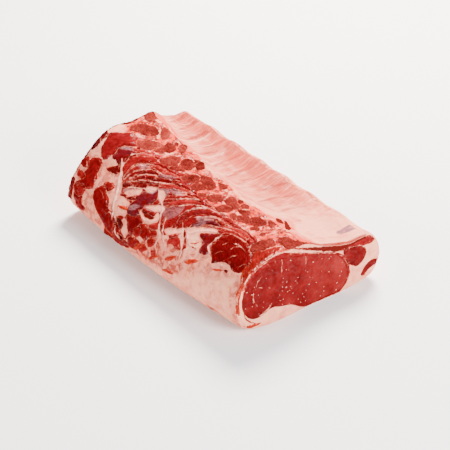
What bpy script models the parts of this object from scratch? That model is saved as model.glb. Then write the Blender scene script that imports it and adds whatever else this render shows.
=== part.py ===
"""A bone-in beef rib joint lying on its fat cap, rib cage side up.

Row frame: +X from the chine (backbone) side to the rib tips, +Y from the eye-muscle cut to the
far end, +Z up. The origin is the middle of the footprint, on the surface the joint lies on.
Sizes below are millimetres on the real joint; MM turns them into metres.
"""

import math

import bmesh
import bpy
import numpy as np

MM = 0.001
LENGTH = 430.0
CENTRE_X = 117.1
GAP = 0.3
OFF_PLANE = 0.05
STATIONS = 30

# Cross-section landmarks, clockwise from the floor on the chine side, as seen from the eye cut.
# Each holds x and then z at the eye cut, at half length and at the far end.
SECTION = {
    "sole_left": ((46, 40, 44), (0, 0, 0)),
    "heel": ((2, -10, -3), (11, 9, 12)),
    "flank_low": ((-15, -27, -16), (34, 32, 34)),
    "flank": ((-14, -15, -8), (72, 66, 62)),
    "flank_high": ((14, 24, 24), (110, 96, 100)),
    "shoulder": ((48, 62, 66), (124, 114, 128)),
    "chine": ((80, 98, 116), (121, 114, 129)),
    "crest": ((108, 128, 148), (118, 111, 131)),
    "hollow_in": ((150, 160, 172), (99, 90, 117)),
    "hollow": ((192, 202, 196), (84, 78, 109)),
    "lip": ((240, 245, 218), (79, 78, 108)),
    "rib_end": ((259, 258, 230), (42, 44, 62)),
    "toe": ((246, 240, 214), (10, 9, 14)),
    "sole_right": ((208, 205, 180), (0, 0, 0)),
    "sole": ((120, 120, 110), (0, 0, 0)),
}
MARKS = list(SECTION)
CREST = MARKS.index("crest")
LIP = MARKS.index("lip")
# The two layers meet at the crest. Their other rims are just above the heel and just short of the lip.
CHINE_RIM = MARKS.index("heel") + 0.2
PLATE_RIM = LIP - 0.25
# Points between one landmark and the next: close where the surface is rough, wide on the sole.
STEPS = (1, 2, 3, 3, 3, 3, 3, 3, 3, 4, 3, 3, 2, 1, 2)

# The backbone: seven sawn vertebrae, longer towards the loin. Middle and half length along Y.
VERTEBRAE = ((38, 25), (113, 28), (181, 26), (242, 25), (298, 23), (350, 22), (401, 21))
RIB_SLANT = 34.0
VERTEBRA_SWELL = 3.2
RIB_SWELL = 2.6
LIP_SCALLOP = 3.4
BUNDLE_SWELL = 1.8
EDGE_ROUND = 1.6
END_ROUND = 7.0

# Muscles that run through the whole joint: outlines on the eye cut, x and z.
EYE = (
    (64, 107), (98, 98), (140, 85), (174, 69), (190, 47), (195, 24), (184, 7), (150, 5),
    (108, 6), (88, 18), (66, 24), (44, 31), (26, 22), (8, 28), (-5, 50), (-3, 70), (15, 95), (40, 105),
)
EYE_CENTRE = (104, 56)
RIB_MUSCLE = ((186, 63), (203, 69), (222, 64), (231, 52), (225, 39), (212, 34), (202, 44))
RIB_MUSCLE_CENTRE = (210, 52)
EDGE_MUSCLE = ((231, 28), (242, 33), (251, 31), (250, 24), (238, 19), (222, 14))
EDGE_MUSCLE_CENTRE = (240, 26)

# Depths of the two layers under their first and last rims and in between: eye cut, half, far end.
PLATE_DEPTH = ((6, 7, 8), (11, 13, 15), (5, 5, 5))
CHINE_DEPTH = ((4, 8, 9), (8, 17, 20), (12, 14, 15))
BONE_DEPTH = 9.0
BONE_PROUD = 0.8
BONE_HALF_GIRTH = 0.62
BONE_MARK = 6.15


def along_quadratic(values, t):
    """The parabola through a value at the eye cut, at half length and at the far end."""
    first, middle, last = values
    return first * (1 - t) * (1 - 2 * t) + 4 * middle * t * (1 - t) + last * t * (2 * t - 1)


def smooth(low, high, value):
    """0 below low, 1 above high and a smooth rise between."""
    share = np.clip((np.asarray(value, float) - low) / (high - low), 0, 1)
    return share * share * (3 - 2 * share)


def window(start, full, fade, end, value):
    """1 between full and fade, falling to 0 at start and at end."""
    return smooth(start, full, value) * (1 - smooth(fade, end, value))


def landmarks(t):
    return np.array([[along_quadratic(x, t), along_quadratic(z, t)] for x, z in SECTION.values()])


def closed_spline(points, places):
    """Centripetal Catmull-Rom curve round a closed list of points, read at fractional places."""
    count = len(points)
    places = np.asarray(places, float)
    first = np.floor(places).astype(int)
    share = (places - first)[:, None]
    a, b, c, d = (points[(first + shift) % count] for shift in (-1, 0, 1, 2))
    ab, bc, cd = (np.sqrt(np.linalg.norm(q - p, axis=1))[:, None] for p, q in ((a, b), (b, c), (c, d)))
    leave = ((b - a) / ab - (c - a) / (ab + bc) + (c - b) / bc) * bc
    arrive = ((c - b) / bc - (d - b) / (bc + cd) + (d - c) / cd) * bc
    square, cube = share**2, share**3
    return (
        (2 * cube - 3 * square + 1) * b
        + (cube - 2 * square + share) * leave
        + (3 * square - 2 * cube) * c
        + (cube - square) * arrive
    )


def nearest_swell(y, slant):
    """1 over the middle of a vertebra or its rib and 0 between two, at a distance y from the cut."""
    return max(math.exp(-(((y - middle + slant) / (half * 0.72)) ** 2)) for middle, half in VERTEBRAE)


def relief(t, places):
    """How far the surface stands off the plain section: vertebrae, ribs, and the muscle bundles."""
    y = t * LENGTH
    places = np.asarray(places, float)
    spine = window(4.9, 5.8, 6.6, 7.3, places) * VERTEBRA_SWELL * (nearest_swell(y, 0) - 0.4)
    towards_lip = np.clip((places - CREST) / (LIP - CREST), 0, 1)
    ribs = np.array([nearest_swell(y, RIB_SLANT * share) for share in towards_lip]) - 0.45
    plate = window(7.2, 8.2, 9.5, 10.2, places) * RIB_SWELL * ribs
    scallop = window(9.2, 10.0, 10.3, 11.2, places) * LIP_SCALLOP * ribs
    lean = y / 13.0 + places * 2.4
    bundles = window(2.3, 3.2, 4.6, 5.6, places) * BUNDLE_SWELL * (np.sin(lean) + 0.6 * np.sin(1.7 * lean + 1.3))
    lumps = window(1.2, 2.2, 3.2, 4.2, places) * 1.2 * np.sin(y / 21.0 + 2.0 * np.sin(places * 1.9))
    return spine + plate + scallop + bundles + lumps


def end_inset(t):
    """The arris of each end is worn round: how far the section shrinks there."""
    near = EDGE_ROUND * (1 - smooth(0, 2 * EDGE_ROUND / LENGTH, t))
    far = END_ROUND * smooth(1 - 2 * END_ROUND / LENGTH, 1, t) ** 2
    return float(near + far)


def section(t, places, out=0.0):
    """Points of the surface at the fractional landmarks, moved out (or in, below 0) along the normal."""
    marks = landmarks(t)
    points = closed_spline(marks, places)
    step = 0.02
    run = closed_spline(marks, np.asarray(places) + step) - closed_spline(marks, np.asarray(places) - step)
    outward = np.stack([-run[:, 1], run[:, 0]], 1) / np.linalg.norm(run, axis=1)[:, None]
    moved = points + outward * (relief(t, places) - end_inset(t) + out)[:, None]
    if np.ndim(out) == 0 and out <= 0:
        moved[:, 1] = np.maximum(moved[:, 1], 0)
    return moved


def whole_ring():
    return np.concatenate([mark + np.arange(count) / count for mark, count in enumerate(STEPS)])


def new_object(name, mesh):
    obj = bpy.data.objects.new(name, mesh)
    bpy.context.scene.collection.objects.link(obj)
    return obj


def loft(name, rings, ys):
    """A closed solid through rings of (x, z) points at distances ys from the eye cut."""
    mesh = bpy.data.meshes.new(name)
    work = bmesh.new()
    rows = [
        [work.verts.new(((x - CENTRE_X) * MM, (y - LENGTH / 2) * MM, z * MM)) for x, z in ring]
        for ring, y in zip(rings, ys)
    ]
    for here, there in zip(rows[:-1], rows[1:]):
        for i in range(len(here)):
            j = (i + 1) % len(here)
            work.faces.new((here[i], here[j], there[j], there[i]))
    work.faces.new(rows[0][::-1])
    work.faces.new(rows[-1])
    bmesh.ops.triangulate(work, faces=work.faces)
    bmesh.ops.recalc_face_normals(work, faces=work.faces)
    work.to_mesh(mesh)
    work.free()
    return new_object(name, mesh)


def cut_away(obj, cutters):
    """Takes the cutters out of obj, for good, and removes them."""
    for cutter in cutters:
        modifier = obj.modifiers.new("cut", "BOOLEAN")
        modifier.operation = "DIFFERENCE"
        modifier.solver = "MANIFOLD"
        modifier.object = cutter
    graph = bpy.context.evaluated_depsgraph_get()
    mesh = bpy.data.meshes.new_from_object(obj.evaluated_get(graph))
    obj.modifiers.clear()
    obj.data = mesh
    for cutter in cutters:
        bpy.data.objects.remove(cutter)


def station_shares(count=STATIONS):
    """Shares of the length, with an extra one in each worn arris."""
    near, far = 2 * EDGE_ROUND / LENGTH, 1 - 2 * END_ROUND / LENGTH
    return np.array([0, near / 2, *np.linspace(near, far, count - 4), (1 + far) / 2, 1])


def run_through(rings, ys, past):
    """The same rings, with the end ones repeated past the joint so that a cutter comes right out."""
    if not past:
        return rings, ys
    ys = [ys[0] - past, ys[0] - OFF_PLANE, *ys[1:-1], ys[-1] + OFF_PLANE, ys[-1] + past]
    return [rings[0], *rings, rings[-1]], ys


def layer(name, first, last, depths, count, grow=0.0, past=0.0, out=0.0):
    """A layer under the surface between two landmarks, with its own depth at each rim."""
    shares = station_shares()
    rings = []
    for t in shares:
        span = landmarks(t)
        pace = np.linalg.norm(span[int(last)] - span[int(last) - 1])
        nudge = (grow - GAP / 2) / pace
        places = np.linspace(first - nudge, last + nudge, count)
        rim, middle, end = (along_quadratic(values, t) for values in depths)
        share = np.linspace(0, 1, count)
        depth = rim + (middle - rim) * smooth(0, 0.3, share) + (end - middle) * smooth(0.55, 0.8, share)
        depth = depth + grow - GAP / 2
        outer = section(t, places, out)
        inner = section(t, places, -depth)
        rings.append(np.concatenate([outer, inner[::-1]]))
    return loft(name, *run_through(rings, shares * LENGTH, past))


def through_muscle(name, outline, centre, shrink, drift, per_point, grow=0.0, past=0.0):
    """A muscle from one end to the other: its outline, scaled by shrink and moved by drift."""
    points = np.array(outline, float)
    middle = np.array(centre, float)
    places = np.arange(len(points) * per_point) / per_point
    shares = np.linspace(0, 1, 11)
    rings = []
    for t in shares:
        scale = along_quadratic(shrink, t)
        move = np.array([along_quadratic(axis, t) for axis in drift])
        ring = closed_spline(middle + (points - middle) * scale + move, places)
        run = np.roll(ring, -1, axis=0) - np.roll(ring, 1, axis=0)
        outward = np.stack([-run[:, 1], run[:, 0]], 1) / np.linalg.norm(run, axis=1)[:, None]
        rings.append(ring + outward * grow)
    return loft(name, *run_through(rings, shares * LENGTH, past))


def bone_outline(count=14):
    """The sawn face of a vertebra: a rounded block, its canal side a little hollow."""
    angles = 2 * np.pi * np.arange(count) / count
    across = np.sign(np.cos(angles)) * np.abs(np.cos(angles)) ** 0.75
    along = np.sign(np.sin(angles)) * np.abs(np.sin(angles)) ** 0.75
    return along, across * (1 - 0.12 * np.cos(2 * angles))


def bone(name, middle, half, grow=0.0, out=BONE_PROUD):
    """One sawn vertebra let into the chine: its face follows the surface, a little proud of it."""
    along, across = bone_outline()
    mesh = bpy.data.meshes.new(name)
    work = bmesh.new()
    rows = []
    for rise, size in ((-BONE_DEPTH - grow, 0.82), (0.0, 1.0), (out, 0.93), (out + 0.4, 0.5)):
        row = []
        for a, g in zip(along, across):
            reach = size + grow / half
            y = middle + a * (half - 3.5) * reach - g * 5.0
            place = BONE_MARK + g * BONE_HALF_GIRTH * reach
            x, z = section(y / LENGTH, [place], 0.0)[0]
            down = section(y / LENGTH, [place], -10.0)[0]
            normal = (np.array([x, z]) - down) / 10.0
            x, z = np.array([x, z]) + normal * rise
            row.append(work.verts.new(((x - CENTRE_X) * MM, (y - LENGTH / 2) * MM, z * MM)))
        rows.append(row)
    for here, there in zip(rows[:-1], rows[1:]):
        for i in range(len(here)):
            j = (i + 1) % len(here)
            work.faces.new((here[i], here[j], there[j], there[i]))
    for row in (rows[0], rows[-1]):
        hub = work.verts.new(sum((vert.co for vert in row), row[0].co * 0) / len(row))
        for i in range(len(row)):
            work.faces.new((row[i], row[(i + 1) % len(row)], hub))
    bmesh.ops.recalc_face_normals(work, faces=work.faces)
    work.to_mesh(mesh)
    work.free()
    return new_object(name, mesh)


def finish(obj, colour, roughness):
    material = bpy.data.materials.new(obj.name)
    material.use_nodes = True
    shader = material.node_tree.nodes["Principled BSDF"]
    shader.inputs["Base Color"].default_value = (*colour, 1)
    shader.inputs["Roughness"].default_value = roughness
    shader.inputs["Metallic"].default_value = 0.0
    obj.data.materials.clear()
    obj.data.materials.append(material)
    obj.data.shade_smooth()
    obj.data.set_sharp_from_angle(angle=math.radians(40))


RED_MEAT = (0.42, 0.035, 0.03)
DARK_MEAT = (0.3, 0.02, 0.02)
FAT = (0.85, 0.62, 0.55)
MEMBRANE = (0.82, 0.45, 0.38)
BONE = (0.55, 0.14, 0.1)

for old in list(bpy.data.objects):
    bpy.data.objects.remove(old)

BEYOND = 12.0
MUSCLES = {
    "eye_muscle": (EYE, EYE_CENTRE, (1.0, 0.82, 0.7), ((0, 8, 7), (0, -7, -7)), 2),
    "rib_muscle": (RIB_MUSCLE, RIB_MUSCLE_CENTRE, (1.0, 0.95, 0.9), ((0, 4, -22), (0, -5, 12)), 3),
    "edge_muscle": (EDGE_MUSCLE, EDGE_MUSCLE_CENTRE, (1.0, 0.95, 0.7), ((0, -3, -38), (0, 2, 8)), 2),
}
LAYERS = {
    "rib_plate": (CREST, PLATE_RIM, PLATE_DEPTH, 12),
    "chine_side": (CHINE_RIM, CREST, CHINE_DEPTH, 18),
}

fat_cap = loft("fat_cap", [section(t, whole_ring()) for t in station_shares()], station_shares() * LENGTH)
for name, shape in MUSCLES.items():
    finish(through_muscle(name, *shape), RED_MEAT, 0.4)
    cut_away(fat_cap, [through_muscle("cutter", *shape, grow=GAP, past=BEYOND)])
for name, shape in LAYERS.items():
    layer(name, *shape)
    cut_away(fat_cap, [layer("cutter", *shape, grow=GAP, past=BEYOND, out=8.0)])
finish(fat_cap, FAT, 0.45)
finish(bpy.data.objects["rib_plate"], MEMBRANE, 0.35)

chine_side = bpy.data.objects["chine_side"]
for number, (middle, half) in enumerate(VERTEBRAE, 1):
    finish(bone(f"chine_bone_{number}", middle, half), BONE, 0.55)
    cut_away(chine_side, [bone("cutter", middle, half, grow=GAP, out=8.0)])
finish(chine_side, DARK_MEAT, 0.35)
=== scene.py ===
import math

import bpy
import numpy as np
from mathutils import Matrix, Vector, kdtree, noise
from mathutils.geometry import delaunay_2d_cdt


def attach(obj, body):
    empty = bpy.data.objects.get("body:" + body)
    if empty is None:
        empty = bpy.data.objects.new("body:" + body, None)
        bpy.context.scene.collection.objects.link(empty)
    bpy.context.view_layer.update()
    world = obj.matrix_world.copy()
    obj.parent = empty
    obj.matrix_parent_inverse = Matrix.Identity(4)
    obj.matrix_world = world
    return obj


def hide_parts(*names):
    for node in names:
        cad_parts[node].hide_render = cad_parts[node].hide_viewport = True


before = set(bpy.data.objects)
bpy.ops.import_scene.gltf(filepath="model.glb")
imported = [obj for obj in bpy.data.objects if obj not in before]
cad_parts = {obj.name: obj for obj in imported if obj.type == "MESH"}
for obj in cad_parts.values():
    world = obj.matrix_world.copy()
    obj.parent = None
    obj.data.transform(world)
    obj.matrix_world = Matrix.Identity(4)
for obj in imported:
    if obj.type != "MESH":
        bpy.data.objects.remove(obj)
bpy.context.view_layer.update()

# The camera stands well back, in front of the eye cut and to the backbone side, and looks down on
# the joint through a long lens. Photo pixels are turned into places on the meat with the same
# camera, so what is read off the 450-pixel photo lands on the surface under it.
MM = 0.001
PHOTO_SIDE = 450
AZIMUTH, ELEVATION = math.radians(-38), math.radians(33)
LOOK_AT = np.array((-5.1, -25.0, 50.0)) * MM
CAMERA_DISTANCE = 3.05
LENS, SENSOR = 160.0, 36.0
RIGHT = np.array((math.cos(AZIMUTH), math.sin(AZIMUTH), 0.0))
BACK = np.array(
    (math.sin(AZIMUTH) * math.cos(ELEVATION), -math.cos(AZIMUTH) * math.cos(ELEVATION), math.sin(ELEVATION))
)
UP = np.cross(BACK, RIGHT)
EYE_POINT = LOOK_AT + BACK * CAMERA_DISTANCE
PIXELS_PER_SLOPE = LENS / SENSOR * PHOTO_SIDE

camera_data = bpy.data.cameras.new("camera")
camera_data.lens, camera_data.sensor_width = LENS, SENSOR
camera = bpy.data.objects.new("camera", camera_data)
camera.matrix_world = Matrix([[RIGHT[i], UP[i], BACK[i], EYE_POINT[i]] for i in range(3)] + [[0, 0, 0, 1]])
bpy.context.scene.collection.objects.link(camera)
bpy.context.scene.camera = camera

# The ground is a plain white sheet. A large soft lamp stands high on the rib side, a little behind
# the joint, so that the membrane is the brightest part and the shadow falls to the backbone side.
# A weaker lamp in front lifts the cut, and a white surround fills in the rest.


def linear(code):
    """A colour as screens name it, turned into the linear values that shaders take."""
    parts = [int(code[i : i + 2], 16) / 255 for i in (1, 3, 5)]
    return tuple(part / 12.92 if part <= 0.04045 else ((part + 0.055) / 1.055) ** 2.4 for part in parts)


def soft_lamp(name, place, side, watts, colour="#FFFFFF"):
    """A round lamp that is turned to the joint."""
    data = bpy.data.lights.new(name, "AREA")
    data.shape, data.size, data.energy, data.color = "DISK", side, watts, linear(colour)
    lamp = bpy.data.objects.new(name, data)
    lamp.location = place
    lamp.rotation_euler = (Vector((0, 0, 0.05)) - Vector(place)).to_track_quat("-Z", "Y").to_euler()
    bpy.context.scene.collection.objects.link(lamp)


soft_lamp("key_lamp", (1.1, 0.75, 1.5), 0.9, 215, "#FFF4EA")
soft_lamp("front_lamp", (0.1, -1.9, 1.1), 1.0, 95)
soft_lamp("far_end_lamp", (-1.7, 0.2, 0.9), 0.6, 25)

SURROUND_STRENGTH = 0.36
world = bpy.data.worlds.new("surround")
world.use_nodes = True
world.node_tree.nodes["Background"].inputs["Color"].default_value = (1, 1, 1, 1)
world.node_tree.nodes["Background"].inputs["Strength"].default_value = SURROUND_STRENGTH
bpy.context.scene.world = world

GROUND_HALF, GROUND_WHITE = 12.0, 0.93
ground_mesh = bpy.data.meshes.new("ground")
ground_corners = [(x * GROUND_HALF, y * GROUND_HALF, 0) for x, y in ((-1, -1), (1, -1), (1, 1), (-1, 1))]
ground_mesh.from_pydata(ground_corners, [], [(0, 1, 2, 3)])
ground = bpy.data.objects.new("ground", ground_mesh)
ground_paper = bpy.data.materials.new("ground_paper")
ground_paper.use_nodes = True
ground_shader = ground_paper.node_tree.nodes["Principled BSDF"]
ground_shader.inputs["Base Color"].default_value = (GROUND_WHITE, GROUND_WHITE, GROUND_WHITE, 1)
ground_shader.inputs["Roughness"].default_value = 0.9
ground_mesh.materials.append(ground_paper)
bpy.context.scene.collection.objects.link(ground)

# The chine side: where the backbone was sawn through and the meat pulled off it. Bundles of red
# muscle run from between the vertebrae down to the fat, each in a thin white sheath. Below them
# lies pale fat with pockets of meat, crossed by strands of sinew.

# The joint's cross-section at the eye cut, at half length and at the far end: x and z of its
# landmarks in millimetres, from the floor on the chine side over the top and back under.
LENGTH = 430.0
CENTRE_X = 117.1
SECTION = {
    "sole_left": ((46, 40, 44), (0, 0, 0)),
    "heel": ((2, -10, -3), (11, 9, 12)),
    "flank_low": ((-15, -27, -16), (34, 32, 34)),
    "flank": ((-14, -15, -8), (72, 66, 62)),
    "flank_high": ((14, 24, 24), (110, 96, 100)),
    "shoulder": ((48, 62, 66), (124, 114, 128)),
    "chine": ((80, 98, 116), (121, 114, 129)),
    "crest": ((108, 128, 148), (118, 111, 131)),
    "hollow_in": ((150, 160, 172), (99, 90, 117)),
    "hollow": ((192, 202, 196), (84, 78, 109)),
    "lip": ((240, 245, 218), (79, 78, 108)),
    "rib_end": ((259, 258, 230), (42, 44, 62)),
    "toe": ((246, 240, 214), (10, 9, 14)),
    "sole_right": ((208, 205, 180), (0, 0, 0)),
    "sole": ((120, 120, 110), (0, 0, 0)),
}
MARKS = list(SECTION)
MARK_TABLE = np.array(list(SECTION.values()), float)
HEEL, CREST, LIP = (MARKS.index(name) for name in ("heel", "crest", "lip"))
CHINE_RIM, PLATE_RIM = HEEL + 0.2, LIP - 0.25
# The sawn vertebrae: middle and half length, from the eye cut on. Their ribs slant back.
VERTEBRAE = ((38, 25), (113, 28), (181, 26), (242, 25), (298, 23), (350, 22), (401, 21))
RIB_SLANT = 34.0
VERTEBRA_SWELL, RIB_SWELL, LIP_SCALLOP = 3.6, 3.2, 2.2
SWELL_SHARE = 0.72
# Where each of these starts, is full, fades and ends, in landmarks round the joint.
VERTEBRA_SPAN = (4.9, 5.8, 6.6, 7.3)
RIB_SPAN = (7.2, 8.2, 9.5, 10.2)
LIP_SPAN = (9.2, 10.0, 10.3, 11.2)
# How much of a swell goes below the surface between two vertebrae or ribs.
VERTEBRA_REST, RIB_REST = 0.4, 0.45
HALF_STEP = 0.02
NEAR_ROUND, FAR_ROUND = 1.6, 2.5


def along_quadratic(values, t):
    """A value that runs smoothly through its first, middle and last as t goes from 0 to 1."""
    first, middle, last = values
    return first * (1 - t) * (1 - 2 * t) + 4 * middle * t * (1 - t) + last * t * (2 * t - 1)


def smooth(low, high, value):
    """0 below low, 1 above high and a smooth rise between."""
    share = np.clip((np.asarray(value, float) - low) / (high - low), 0, 1)
    return share * share * (3 - 2 * share)


def window(span, value):
    """0 outside a span and 1 well inside it."""
    start, full, fade, end = span
    return smooth(start, full, value) * (1 - smooth(fade, end, value))


def spline_span(a, b, c, d, share):
    """Centripetal Catmull-Rom curve from b to c, with their neighbours a and d."""
    steps = ((a, b), (b, c), (c, d))
    ab, bc, cd = (np.sqrt(np.linalg.norm(q - p, axis=-1, keepdims=True)) for p, q in steps)
    leave = ((b - a) / ab - (c - a) / (ab + bc) + (c - b) / bc) * bc
    arrive = ((c - b) / bc - (d - b) / (bc + cd) + (d - c) / cd) * bc
    square, cube = share**2, share**3
    return (
        (2 * cube - 3 * square + 1) * b
        + (cube - 2 * square + share) * leave
        + (3 * square - 2 * cube) * c
        + (cube - square) * arrive
    )


def closed_spline(points, places):
    """The same curve round a closed list of points, read at fractional places."""
    points = np.asarray(points, float)
    first = np.floor(places).astype(int)
    corners = (points[(first + step) % len(points)] for step in (-1, 0, 1, 2))
    return spline_span(*corners, (np.asarray(places) - first)[:, None])


def swell(y):
    """1 over the middle of a vertebra and 0 between two."""
    away = [(y - middle) / (half * SWELL_SHARE) for middle, half in VERTEBRAE]
    return np.max([np.exp(-(share**2)) for share in away], axis=0)


def section_line(t, places):
    """x and z of the cross-section at a share t of the length, at fractional landmarks."""
    first = np.floor(places).astype(int)
    corners = []
    for step in (-1, 0, 1, 2):
        marks = np.moveaxis(MARK_TABLE[(first + step) % len(MARKS)], -1, 0)
        corners.append(np.stack([along_quadratic(marks[..., axis], t) for axis in (0, 1)], -1))
    return spline_span(*corners, (places - first)[..., None])


def skin(along, places, lift=0.0):
    """Points of the outer surface, in metres, at distances along and fractional landmarks.

    The arguments broadcast. lift, in millimetres, moves a point out, or into the meat below 0."""
    along, places, lift = np.broadcast_arrays(along, places, lift)
    t = np.clip(along / LENGTH, 0, 1)
    run = section_line(t, places + HALF_STEP) - section_line(t, places - HALF_STEP)
    outward = np.stack([-run[..., 1], run[..., 0]], -1) / np.linalg.norm(run, axis=-1, keepdims=True)
    ribs = swell(along + RIB_SLANT * np.clip((places - CREST) / (LIP - CREST), 0, 1)) - RIB_REST
    rise = window(VERTEBRA_SPAN, places) * VERTEBRA_SWELL * (swell(along) - VERTEBRA_REST)
    rise = rise + window(RIB_SPAN, places) * RIB_SWELL * ribs
    rise = rise + window(LIP_SPAN, places) * LIP_SCALLOP * ribs
    worn = NEAR_ROUND * (1 - smooth(0, 2 * NEAR_ROUND, along))
    worn = worn + FAR_ROUND * smooth(LENGTH - 2 * FAR_ROUND, LENGTH, along) ** 2
    points = section_line(t, places) + outward * (rise - worn + lift)[..., None]
    points[..., 1] = np.maximum(points[..., 1], 0)
    return np.stack([points[..., 0] - CENTRE_X, along - LENGTH / 2, points[..., 1]], -1) * MM


# Distances round the joint, measured at half length, and back to landmarks.
GIRTH_PLACES = np.linspace(HEEL, HEEL + len(MARKS), 1500)
GIRTH_STEPS = np.linalg.norm(np.diff(skin(LENGTH / 2, GIRTH_PLACES), axis=0), axis=1) / MM
GIRTH = np.concatenate([[0], np.cumsum(GIRTH_STEPS)])


def girth(places):
    return np.interp(places, GIRTH_PLACES, GIRTH)


def place_at(distances):
    return np.interp(distances, GIRTH, GIRTH_PLACES)


def even_places(first, last, pitch):
    """Places from one landmark to another, a pitch apart in millimetres."""
    count = int((girth(last) - girth(first)) / pitch) + 1
    return place_at(np.linspace(girth(first), girth(last), count))


def photo_pixels(points):
    """Where points in metres show in the photo: x to the right and y down."""
    ray = points - EYE_POINT
    depth = -ray @ BACK
    across, up = ray @ RIGHT / depth, ray @ UP / depth
    return PHOTO_SIDE / 2 + PIXELS_PER_SLOPE * np.stack([across, -up], -1)


TRACE_PITCH = 2.0
TRACE_ALONG = np.arange(0.0, LENGTH + 1, TRACE_PITCH)
TRACE_PLACES = np.linspace(HEEL, LIP + 0.3, 240)
TRACE = skin(TRACE_ALONG[:, None], TRACE_PLACES)
TRACE_PIXELS = photo_pixels(TRACE)
trace_outward = np.cross(np.gradient(TRACE, axis=1), np.gradient(TRACE, axis=0))
SEEN = np.argwhere(((EYE_POINT - TRACE) * trace_outward).sum(-1) > 0)
pixel_tree = kdtree.KDTree(len(SEEN))
for index, (row, column) in enumerate(SEEN):
    pixel_tree.insert((*TRACE_PIXELS[row, column], 0), index)
pixel_tree.balance()


def under_pixels(pixels):
    """The surface spots, along and round the joint in millimetres, that show at pixels of the photo."""
    spots = []
    for pixel in np.asarray(pixels, float):
        row, column = SEEN[pixel_tree.find((*pixel, 0))[1]]
        row = int(np.clip(row, 1, len(TRACE_ALONG) - 2))
        column = int(np.clip(column, 1, len(TRACE_PLACES) - 2))
        by_row = (TRACE_PIXELS[row + 1, column] - TRACE_PIXELS[row - 1, column]) / 2
        by_column = (TRACE_PIXELS[row, column + 1] - TRACE_PIXELS[row, column - 1]) / 2
        shift = np.linalg.solve(np.stack([by_row, by_column], 1), pixel - TRACE_PIXELS[row, column])
        shift = np.clip(shift, -1, 1)
        place = TRACE_PLACES[column] + shift[1] * (TRACE_PLACES[1] - TRACE_PLACES[0])
        spots.append((TRACE_ALONG[row] + shift[0] * TRACE_PITCH, girth(place)))
    return np.array(spots)


def on_cut(pixels):
    """The points of the eye cut, x and z of the cross-section, that show at pixels of the photo."""
    slopes = (np.asarray(pixels, float) - PHOTO_SIDE / 2) / PIXELS_PER_SLOPE
    rays = slopes[:, :1] * RIGHT - slopes[:, 1:] * UP - BACK
    points = EYE_POINT + rays * ((-LENGTH / 2 * MM - EYE_POINT[1]) / rays[:, 1:2])
    return np.stack([points[:, 0] / MM + CENTRE_X, points[:, 2] / MM], 1)


def grid_spots(along, places):
    """The spots of a grid, along and round the joint in millimetres."""
    return np.stack(np.broadcast_arrays(along[:, None], girth(places)), -1)


def section_points(points):
    """x and z of the cross-section in millimetres, for points in metres."""
    return points.reshape(-1, 3)[:, [0, 2]] / MM + (CENTRE_X, 0)


def spline_through(points, steps=7):
    """A smooth open curve through a few points, with steps between one and the next."""
    points = np.asarray(points, float)
    ends = np.concatenate([[2 * points[0] - points[1]], points, [2 * points[-1] - points[-2]]])
    share = np.linspace(0, 1, steps, endpoint=False)[:, None]
    runs = [spline_span(a, b, c, d, share) for a, b, c, d in zip(ends, ends[1:], ends[2:], ends[3:])]
    return np.concatenate([*runs, points[-1:]])


def to_line(spots, line):
    """For each spot: distance to a line, signed distance across it and length run along it."""
    best = np.full(len(spots), np.inf)
    across, run = np.zeros(len(spots)), np.zeros(len(spots))
    passed = 0.0
    for start, step in zip(line[:-1], np.diff(line, axis=0)):
        long = max(np.linalg.norm(step), 1e-9)
        rel = spots - start
        share = np.clip(rel @ step / long**2, 0, 1)
        far = np.linalg.norm(rel - share[:, None] * step, axis=1)
        side = np.sign(step[0] * rel[:, 1] - step[1] * rel[:, 0])
        closer = far < best
        best[closer], across[closer] = far[closer], (far * side)[closer]
        run[closer] = passed + (share * long)[closer]
        passed += long
    return best, across, run


def inside(spots, outline):
    """Which spots lie inside a closed outline."""
    odd = np.zeros(len(spots), bool)
    for (ax, ay), (bx, by) in zip(outline, np.roll(outline, -1, axis=0)):
        if ay != by:
            level = (ay > spots[:, 1]) != (by > spots[:, 1])
            odd ^= level & (spots[:, 0] < (bx - ax) * (spots[:, 1] - ay) / (by - ay) + ax)
    return odd


def wander(spots, scale, seed, octaves=2):
    """Smooth random values, about -1 to 1, with humps about a scale wide."""
    return np.array([noise.fractal((x / scale, y / scale, seed), 1.0, 2.0, octaves) for x, y in spots])


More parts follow.
